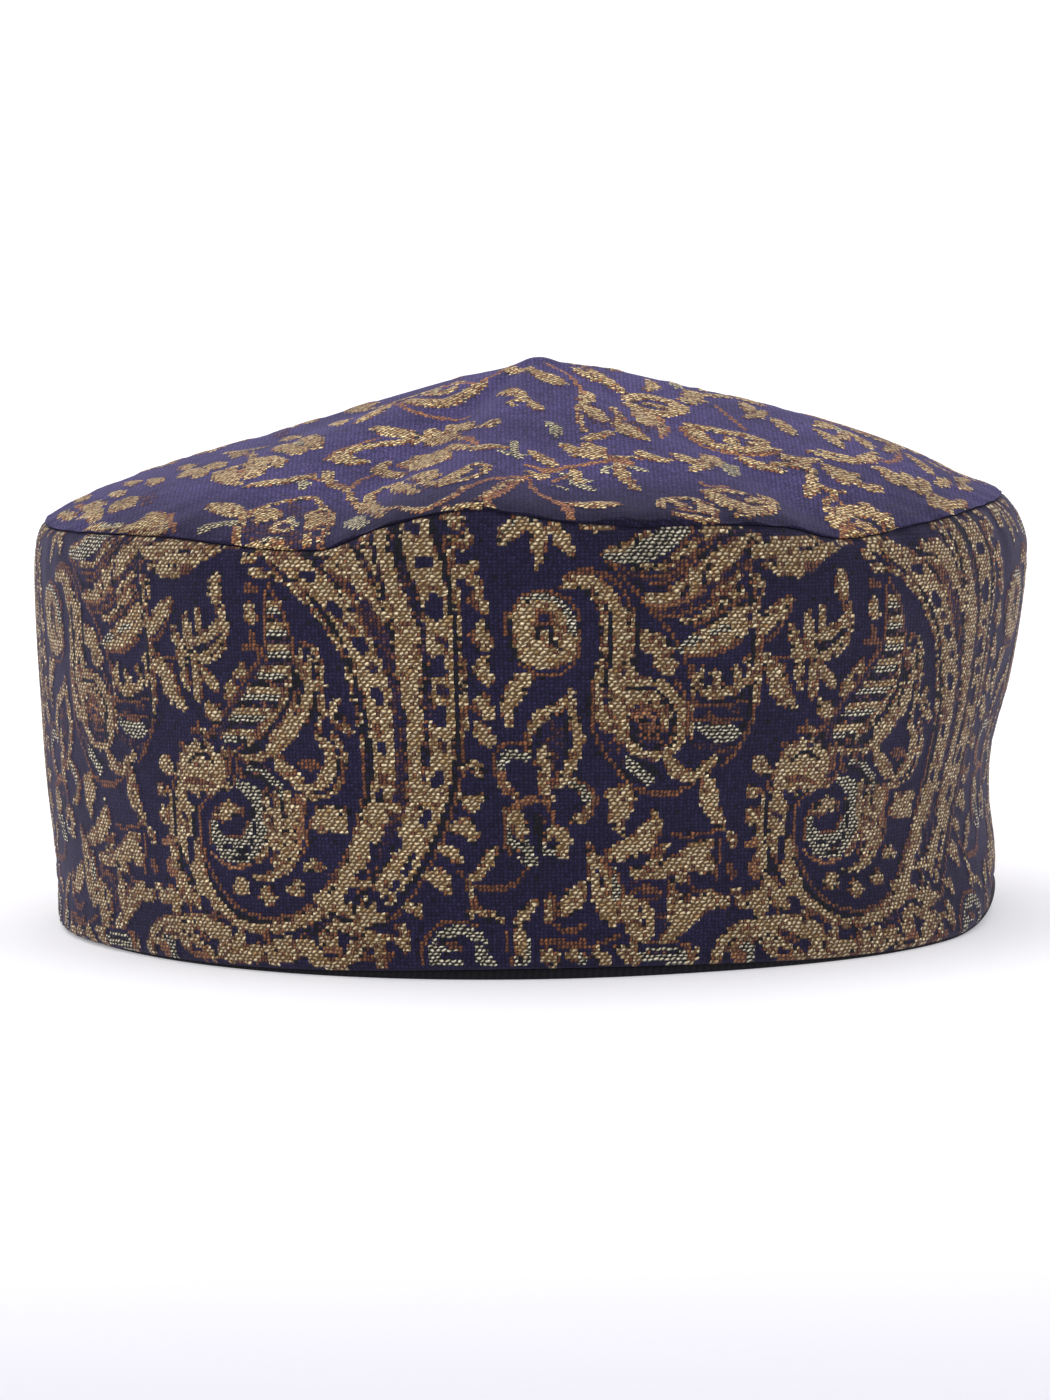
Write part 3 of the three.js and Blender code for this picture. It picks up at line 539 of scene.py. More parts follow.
gold 10.4 24.2 0.8 11.6 21.6 2 12.8 18 4.2 13.8 14.4 4.4 14.8 11.4 2.4 15.4 10.2 0.8
pale 15 20 1 15.4 17 1.8 15.4 14.2 1.2
gold 14 22 0.9 17 22.6 1.8 20 24 2.8 22.6 26.4 3 23.6 28.2 1.8 22.8 30.2 0.8
rust 13.4 23.6 0.7 13.6 20.6 0.7 16 18.6 0.8 16.8 14.6 0.8 17 11.6 0.8
gold 20.6 19.2 1.2 24 19.4 2 27.4 20.8 2.6 30.4 22 2.8 33.6 21.6 2.4 35.4 19.6 1.6
gold 29 20.2 1.4 28.4 17.6 1.3
rust 26.6 26.2 0.8 29.6 25.6 0.8 33.4 26.2 0.8 36.4 26.6 0.7
gold 32 24.2 1.4 34.6 24 1.4
rust 36.4 25 0.8 36.4 21.4 0.8 35.8 17.6 0.8
plum 19 17 2.4 22.2 14.8 3.6 24.4 12 2.8 25 9.6 1.4
gold 27.4 14.8 1.8 27.2 12.8 2.8 27.2 10.8 1.4
gold 17.8 14 1.8 18.8 12 3.4 20.2 9.6 3.6 21.4 7.6 2
gold 36.8 13.4 0.9 34 13.6 2.2 31 11.8 3 28.6 9.4 3 26 7.2 2 24.4 6.4 1
rust 29.8 18.2 0.8 31.2 15.6 0.9 33.4 15.4 0.7
pale 20.8 3.8 2 24.4 4 3.2 27.6 3.6 3 29.6 3 1.6
rust 19.6 6.4 0.8 23 6.4 0.7 27.2 6.2 0.7 30.4 4.4 0.9
gold 17 4.6 1.8 18.4 3.2 1.8
gold 38.4 25.6 1.2 39.6 24.4 1.6
rust 38.8 19.6 1.6 39.4 18.2 1.6
gold 40 15.2 1.3 41 13.4 2.2 42 12.4 1.2
# arc at the hem between the groups
gold 35.6 2.4 2 36.6 5 2.2 38.6 7.2 2.2 41.6 8.8 1.6 45.2 9.2 1.2
shade 37.6 3 0.8 38.8 5.6 0.8 41.4 7.6 0.8 45.4 8.2 0.7
pale 41.6 6.6 1.2 42 4.6 2.8 42.4 2.6 2.6
gold 43.2 6.2 0.8 46 7.2 1 49.4 6.2 1 52.4 3.8 1 54 2.2 1.2
gold 46.4 4.6 1.3 47.6 3.6 1.8
rust 47.4 8.8 0.7 50.4 7.6 0.8 53 5.4 0.8
# small clusters where the lanes open out towards the hem
navy -30.6 21.4 1.6 -31.8 20.2 1.4
navy -26.2 17.2 1.6 -27.2 16.2 1.4
shade -31.2 14.2 1.4 -32.4 13.2 1.2
navy -35.4 15.8 1.7 -36.4 14.6 1.4
shade -22.6 22.6 1.2 -23.4 21.6 1.2
gold -34 18.2 1.6 -32.6 17.2 2.2 -31.4 17.8 1.2
gold -38.6 12.6 1.6 -37.2 12.8 2.4 -36 11.8 1.4
gold -34.6 11.8 1.6 -33 11.4 2.4 -31.8 10.6 1.4
gold -41.4 8.6 1.2 -38.8 9.2 1.8 -36.2 8.8 1.2
gold -32.6 9.6 1 -30.6 10.4 1.4 -28.6 11.8 1.2
rust -27 9.6 1.2 -25.4 8.6 1.6 -25.2 7 1.6
gold -25.8 6.6 1.6 -25 5.4 1.8
gold -46.6 4.4 1.2 -44 2.4 1.5 -40.6 2.2 1.5 -37.2 3.2 1.3
gold -33 5.4 1.4 -31.4 6.4 1.8 -29.8 5.4 1.2
rust -34.6 3.6 1.6 -32.4 3.2 1.8
rust -29.8 3 1.6 -28.4 3.8 2
gold -66.2 3.2 1.6 -64.4 4 2.6 -62.8 2.6 1.6
gold -67.6 6.4 1 -65 6.6 1.6 -62.6 6.2 1
gold -77.6 9.8 1 -74.4 9.4 1.4 -72.4 10 1
gold -75 17.6 1.4 -73.6 16 1.8 -73.4 14.6 1.4
shade -72.2 18.2 0.9 -71.4 16.6 0.9
gold -77.6 21 1 -77.2 19.6 1.4
rust -68 10 0.8 -64.4 10.2 0.8
# the lane's leaf is broken by dark veins
gold 33.6 70.6 0.9 36.2 72 1.2 38.6 73.6 1
gold 39.6 79.4 1 41.4 80.6 1.4 43 80.2 1
# big flower's inner petals
gold 17.2 10.6 1.6 17.8 12.8 2.2 19.6 13.4 2 21.6 11.6 2 22.2 8.6 1.6
rust 18.6 15.4 0.9 21.4 16.6 0.9 24 15.8 0.9
gold 22 20.8 0.9 24.2 22.2 1.2 25.4 24 0.9
rust 22.4 22.8 1.6 24.4 23.4 1.4
gold 26.4 17.4 1 26.2 15.6 1.2
rust 29.8 14.6 0.9 29.2 12.8 0.9
gold -4 29.8 2 -2.6 28.2 2.8 -2.2 26.6 1.6
rust -5.6 28.6 0.8 -5.6 25.6 0.8 -4 22.4 0.8
rust 1.6 6.6 1.4 6 6.2 1.4 9.4 6.4 1.2
gold 5.8 12.6 1.8 7.2 14 3.6 8.6 15.8 2.6
gold 16 5 1.4 17.6 4.2 1.8
gold 30.4 3 1.4 31.6 4 1.4
# bright shoulder of the lanes under the seam
gold -48.6 76.4 1 -46 75 1.6
rust -44.6 72 0.8 -41.6 70.8 0.8
gold -38.6 75.6 1 -36.4 75 1.6 -34.4 73.4 1
gold -34.6 70.4 1 -33 69.6 1.5 -31.8 68 1
# row of buds under the seam at the left
gold -80 78.4 2.6 -76 77.6 3.6 -71 77.4 3.8 -66.4 77.6 3 -62.4 78.4 1.6
gold -75.6 75.4 1.6 -73.8 74.6 2.2 -71.4 74.6 2 -70 75.6 1.4
rust -69.6 75.2 1.4 -67.6 75 1.6
dusk -78 76.4 1 -76.4 76.4 1
dusk -70.2 78.4 0.9 -68.4 78 0.9
gold -60.4 79 1 -57.6 79.2 1.2
gold -81.2 74 0.6 -80 69 0.7 -79.6 62 0.8 -79 55 0.7 -79.6 47 0.7
# hand-shaped palmette, fuller
gold -69 66 1.3 -68.8 62 1.6 -68.4 59 1.2
gold -68.8 61.2 1 -65 62.6 1.8 -61.2 64.8 1.6
gold -69 59.2 1 -65 58.8 1.5 -61 61.6 1.4
dusk -67.4 60.4 0.9 -63.6 61 1.1 -60.8 63 0.8
gold -67.4 56.6 1.9 -67.4 53.6 2.3 -67.2 51.4 1.3
gold -65.8 56.6 1.3 -64 55 1.7 -62.4 53.2 1.2
gold -72.6 63.8 1.2 -71.2 59.6 1.9 -70.4 56 1.9 -70.2 52.6 1.1
gold -61.8 73.4 2 -61.8 71.4 2.8 -61.2 69.2 1.5
gold -79.2 62.8 1.6 -77.2 65 2.6 -74.6 67 2
gold -77.2 58.2 1.8 -75.8 54.8 3.1 -73.8 51.2 2.8 -71.4 49.4 1.4
gold -60.2 52 1.6 -58.8 53.6 1.8
gold -64.8 49.6 2 -63.4 47.6 2.8
# shoulder of the tall paisley
gold -53 78.8 2 -49 77.6 3.2 -44.6 75.2 3.8 -40.6 72.6 3.8 -38.2 70.8 2.4
navy -43 74 1.6 -41.4 73.6 2
gold -39.6 78.2 1.8 -36 77.4 2.8 -32.6 74.4 2.2 -30.4 70.4 1.5
gold -31.4 82 2 -29.2 78 2.4 -27.2 72.6 2 -26 67 1.4
dusk -30.2 82.6 0.8 -28 76 0.8 -26.6 69.6 0.8
rust -37.4 74.6 0.8 -34 71.4 1 -31.6 67.4 0.9 -29.6 62.6 0.8
gold -50.2 74.4 0.6 -45 71.6 0.7 -41 68 0.7 -37.8 64.2 0.7 -35 59.8 0.7 -33.6 54 0.7 -32.2 48 0.7
  -31.6 43 0.7
gold -43.4 61 0.7 -43.6 56 0.8
gold -40.6 60.6 0.7 -39.2 56 1 -39.4 50.4 1 -40.6 45 0.8
gold -41.6 58.2 1.2 -41.8 52.8 2 -43.4 48.4 2 -46.6 44.2 1.6
gold -44.4 52.4 0.8 -46.6 47.4 1.3 -50.6 43.8 1
dusk -36.4 48.4 1.1 -36 47.4 1
# beads and lines beside the star column
gold -14 78 0.5 -13.2 70 0.6 -12.6 60 0.6 -12.4 50 0.6 -12.6 42 0.5
# the folded leaf at the right of the seam
plum 19 74.6 3 25 74.6 4 31 79.6 3
gold 13.6 78.2 0.7 17 79 0.9 21.6 81.4 0.8
gold 21 69.4 1.8 24 69 1.6 26.4 70.6 2.8 29.4 71.4 3
gold 29.6 74 2.4 32.6 74 3 34.6 76 3.2 37.4 77.4 2.4
gold 33 81.6 1.8 36.6 82.6 2.2 40 83 1.6
dusk 27.6 69.4 0.9 28.8 72.6 0.8
dusk 31.4 72.4 0.9 32.4 75.4 0.8
gold 29 60.6 2.2 31.8 61.6 4 35 63 4.8 38.6 64.6 4
pale 28.6 61.6 1.4 30.2 62 2
rust 32 59 0.9 35.6 60 1 39 61.6 0.9
pale 33.4 63.4 1.2 36.4 64 1.4
gold 31.8 56.6 0.8 31.6 53 1.3 34 52.2 1.8 37.6 52.6 1.6
gold 30 57 0.6 30 50 0.7 30 43.4 0.7
# hook and swirl
gold 8.4 73 1.2 11.6 72.2 2 14.6 69.6 2 16.6 64.8 2 16.8 58.6 1.6
gold 11.2 70.6 0.7 13.4 65 0.8 13.2 59 0.9 12.2 53 0.9
gold 20.4 62.6 2.6 23 60.6 4.6 24.8 57.4 3.6
gold 15.6 54 1.8 19 54 1.8 23 53.4 2 26 50.6 2.2 27.6 46.6 2 28 43 1.8
gold 15.4 50.4 1.6 16.4 47 1.8 16.4 44.4 1.4
gold 18 50.4 0.9 21 51 1.2 24 49.6 1.2 25.2 46.4 1
stem 19 47.4 0.9 21 48.8 1.2 22.6 47.2 1.2 21.4 45.6 0.9
# spiral's head, lane and lower belt
gold -73.4 37 2.2 -70.4 40.6 3.4 -66 40.6 4.6 -63 38.4 3.4 -63.6 35.6 2.4
rust -71.6 35.6 1 -68 35.4 1.2 -65.4 35 1
gold -69.6 34.2 0.8 -65 34 1 -60.6 34.8 0.9
navy -71.2 32.6 1.6 -70.4 31.6 1.6
gold -76.2 33 0.9 -76.4 27 1.3 -76 20 1.5 -75.4 13 1.2
gold -70 24 1.2 -69 19 1.6 -67.4 14.6 1.8
gold -73.4 14.6 1.8 -71.8 13.4 3
navy -69 13 1.8 -68.4 11.8 2
gold -78.6 14.4 2 -77 13 3.4 -77.4 11.2 1.8
gold -62.8 28.6 1 -62 30.4 2.6 -60 30.4 1.8
dusk -59 22.6 1.4 -57.4 23 1.2
dusk -56.4 31.8 1.2 -56 29.6 1.2
stem -66.4 22 0.7 -62.4 19.8 0.8 -57 20 0.8
gold -61 15.4 1.4 -59.6 16.2 2.6 -58.4 15.4 1.4
gold -54.6 14.2 1.8 -53.6 15 2
gold -71.4 9.4 2.2 -68 8.2 3.4 -64 7.4 2.4
gold -83.4 4.4 1 -80.6 6.8 1.5 -77.2 8 1.6 -73.6 7.6 1.2
gold -78.6 5.8 0.8 -75 6.2 1.2 -70.6 4.4 1.2 -67.4 2.4 1
stem -82.6 4 1.8 -81.4 2.8 3
stem -72.8 2.8 1.6 -70.6 2.6 2
gold -65.4 3.6 2.2 -62 2.6 2.4 -58.6 3.6 3 -56.4 4.2 2.4
# strands and belts below the tall paisley
gold -52.6 34 1 -52.4 29 1.4 -51.6 24 1
gold -50.2 34 1 -50 28.6 1.5 -50 23.4 1.2
gold -47.8 33.4 1.4 -47.4 28 2.1 -48.2 22.6 1.8
stem -45.4 33.4 0.8 -45 28.6 1.2 -46 24 0.9
dusk -48.8 33 0.5 -48.8 26 0.5
gold -50.4 41.6 1.8 -48 38 2.6 -45 35.8 2
gold -38.2 41.8 1.8 -38.6 38.6 2 -40.6 35.8 1.6
gold -41.4 30.4 1.6 -38.6 30.6 1.4 -36 30.4 1.6
gold -41 27.8 2.4 -38.6 27.4 1.8 -36.4 27.8 2.2
gold -32 30.4 1.6 -29 31.4 2.2 -25.8 31.4 1.6
gold -31.4 28.4 2 -33.4 24.6 2.6 -35.4 20 2.4 -38 16.4 2
gold -44.4 20.2 1.3 -42.8 20.6 2 -41.6 20 1.2
gold -48.2 15.8 1.8 -46.8 16 2.8
navy -31 24.2 1.4 -30.6 23 1.6
navy -28 23.6 1.4 -28.4 21.8 1.6
navy -33.6 19 1.4 -33.2 18.2 1.3
navy -31.8 15.6 1.4 -30.6 14.8 1.8
navy -25.6 25.6 1.3 -25.8 23.8 1.4
navy -35.8 15.2 1.2 -35.2 14 1.2
navy -29.6 12.4 1.3 -28.2 12.8 1.3
navy -26.2 15.2 1.2 -25.8 14 1.2
gold -53.4 8.4 1.6 -48.4 9.4 1.9 -44 11 2 -40.2 12.6 1.9
gold -43 14.2 1.6 -39.4 14.2 2.8 -36.6 12 2.2
gold -53 5.6 1.2 -49.2 6.2 1.5
gold -52.4 2.8 1.6 -48.6 3.6 2
gold -46 5.6 1.4 -43.6 4 1.8 -42 2.2 1.8 -38 2 1.8 -35.4 3.8 1.7 -33.4 5.6 1.4
gold -41.2 7 1.4 -39.8 6.4 2.2
stem -41.8 4.6 1.4 -38.8 4.4 1.6
gold -36.4 7.8 1.2 -33.4 8.2 1.9 -30.6 7 1.3
gold -30.2 5.2 1.4 -30 2.6 2.1
gold -25.4 8.6 1.6 -25.2 5.6 2
# curls, lower flower and hem paisley
stem -5.8 37.6 1.4 -5.2 34.6 1.6
gold 1.8 41.6 1.6 2.6 38.4 1.6 1.8 34.6 1.2
stem -4 32 0.8 -0.4 33 1 3 32.4 0.9
gold -5 30.4 1.4 -3.4 29 2.8 -2.4 26.4 1.6
dusk -3.8 23.6 0.9 -2 22.4 0.9
dusk -4.2 26.6 0.7 -1.4 24.4 0.7
gold 3 26.8 1.2 5.8 25.6 2 5.4 22.8 1.6
gold -20 18.8 1.6 -17.6 18.6 2.6 -16.6 16 1.4
pale -19.6 5 1.1 -15.6 5 1
pale -18.8 2.8 1.1 -14.6 2.6 1
dusk -18.6 6.6 0.8 -15 6.8 0.7
dusk -11 6.4 0.7 -9.4 5.8 0.7
gold -3.4 9.6 1 -2.8 7.6 2.4 -2.6 4 1.6
gold 2.2 11.2 1 2.8 13.4 1.8
gold 5.4 12.4 2.2 7 14 3.8 8.8 16.4 2.2
gold 2 4.4 2.2 3.4 3 2.4
# claws and big flower
gold 15 33.6 2.4 17.2 33 3.8 16.6 31 3.4 16.2 28.4 1.6 16.8 26.8 0.9
gold 25.4 40.4 1.6 27 38 2.1 30 36.8 2.2 33 38 2.1 35 39.6 1.6
gold 34 36 1.8 33.8 33 3.4 34.8 30.6 2.4 37 28 1.2
gold 14.4 22.6 2 17.6 23.8 2.8 21 25.8 3.4 23 28.4 2.4
gold 18.8 19.2 1.6 22.6 19.2 2.2 26.6 20 2.6 30.6 21 2.8 34 19.6 2
gold 29.4 22.8 1.2 32 23.8 1.6 34 22.4 1.1
gold 11.4 21 2 12.4 17.2 3.6 13.2 13.6 3.6 14.2 10.8 2
gold 26.8 15.2 1.6 26.8 12.8 2.6 26.8 10.2 1.5
gold 18.6 13.8 1.4 19.2 11 4 20 8 4
gold 37.6 13.4 2 34.6 13.8 3 31.6 12.6 3.2 29 10.2 3 26.4 7.8 2.2 24.6 7 1.2
dusk 20.4 12.6 0.7 20.8 9.6 0.8
dusk 12.2 19.6 0.6 13.4 15.6 0.7
gold 18.6 5.4 1.6 19.4 2.8 1.8
stem 29.8 5.6 1 30.4 3.4 1.6
dusk 22 4.6 0.7 28 4.4 0.7
pale 8.6 4.2 1.2 9 2.6 1.2
# the round rose filled in
gold -2 67 2.8 0 68.2 2.4 2.6 68.8 1.8 4.6 67.6 2.2 6 65.6 2.6
pale -1 69.6 0.9 2 70 0.9 4.8 69 1.1 6.8 66.8 1.4 7.4 63.6 1.2
rust 1 66.2 0.9 2.6 67.2 0.8 4.2 66.2 0.9 2.8 64.8 0.8 1.2 65.4 0.8
gold -0.4 63.4 2.6 2.4 62.4 2.4 5 63 2.8
shade 1.2 64.2 0.5 1.6 61.8 0.6
shade 3.6 64 0.5 3.6 61.8 0.6
# bows of the star column kept apart
stem -10.8 73.4 1.1 -10.2 73.6 1.1
navy -81.6 31 1.5 -81.6 28.8 1.5
stem -79.2 33.2 1.7 -77.8 33.6 1.8
gold -78.8 34.2 1.3 -78.4 33.4 1.3
stem -79.4 28.8 1.8 -77.8 29.2 1.9
gold -78.8 29.8 1.4 -78.4 28.8 1.4
stem -79 23.6 1.7 -77.8 24 1.8
stem -78 20 1.6 -77.8 18 2
gold -78.4 39 1.6 -77 38.4 2.6 -76.2 37.2 1.5
# dotted hatching of the folded leaf
rust 19.8 73.4 0.6 25 73.6 0.7 29 76.6 0.7 31.4 80.6 0.6
rust 22 72.2 0.6 26.4 73.2 0.6 30.6 77 0.6 34 80.6 0.6
stem 21.6 68.4 0.9 25.4 68.2 0.9 29 69.6 0.9 32 71.2 0.9
gold 19 75.2 0.7 23.4 75.2 0.8 27 77 0.8 30 79.6 0.8
rust 24 66.6 0.7 28 66.8 0.8 33 69 0.8 38 72 0.8
gold 27.6 65.2 0.9 31 66 1.1 35 68.6 1.2 39 71 1.2
# finer stripes in the tall paisley's inner leaves
gold -46.4 57.5 0.8 -46.2 54.5 0.9 -47.4 51 1 -49.6 48 1 -52.4 45.4 1 -55.4 43.2 0.9
shade -45.2 57 0.6 -45.2 54 0.7 -46.4 50.6 0.7 -48.4 47.8 0.7 -51 45.2 0.7 -53.8 43 0.6
shade -40.8 57.5 0.6 -40.4 53.5 0.7 -41 49.6 0.7 -42.4 46.6 0.6
shade -63 23.6 0.6 -59 22.8 0.6
shade -62 21.8 0.6 -57.6 21.4 0.6
shade -56.6 30.6 0.6 -55.8 27 0.7 -56.6 24 0.6
dusk -67.6 43.8 1.4 -66.6 41.6 0.8
dusk -64.2 43.4 1.6 -63.8 41 0.8
shade -70.4 39.2 0.7 -67.8 40.8 0.8 -65 39.4 0.7
rust -62 41.2 0.8 -61.6 37.2 0.8
rust -60.2 42.4 0.8 -60.4 38 0.9 -59.6 35.4 0.8
# dark lines in the hooked paisley
shade 14.4 66 0.7 14.4 60 0.8 13.8 55 0.7
shade 19.2 68 0.7 19.6 63 0.8 19.6 58 0.7
shade 17 52.8 0.6 20 53.2 0.8 23.4 52.6 0.8 25.8 50 0.8 27 46.6 0.8
navy 21.4 58.8 1.4 21.8 56.4 1
""")

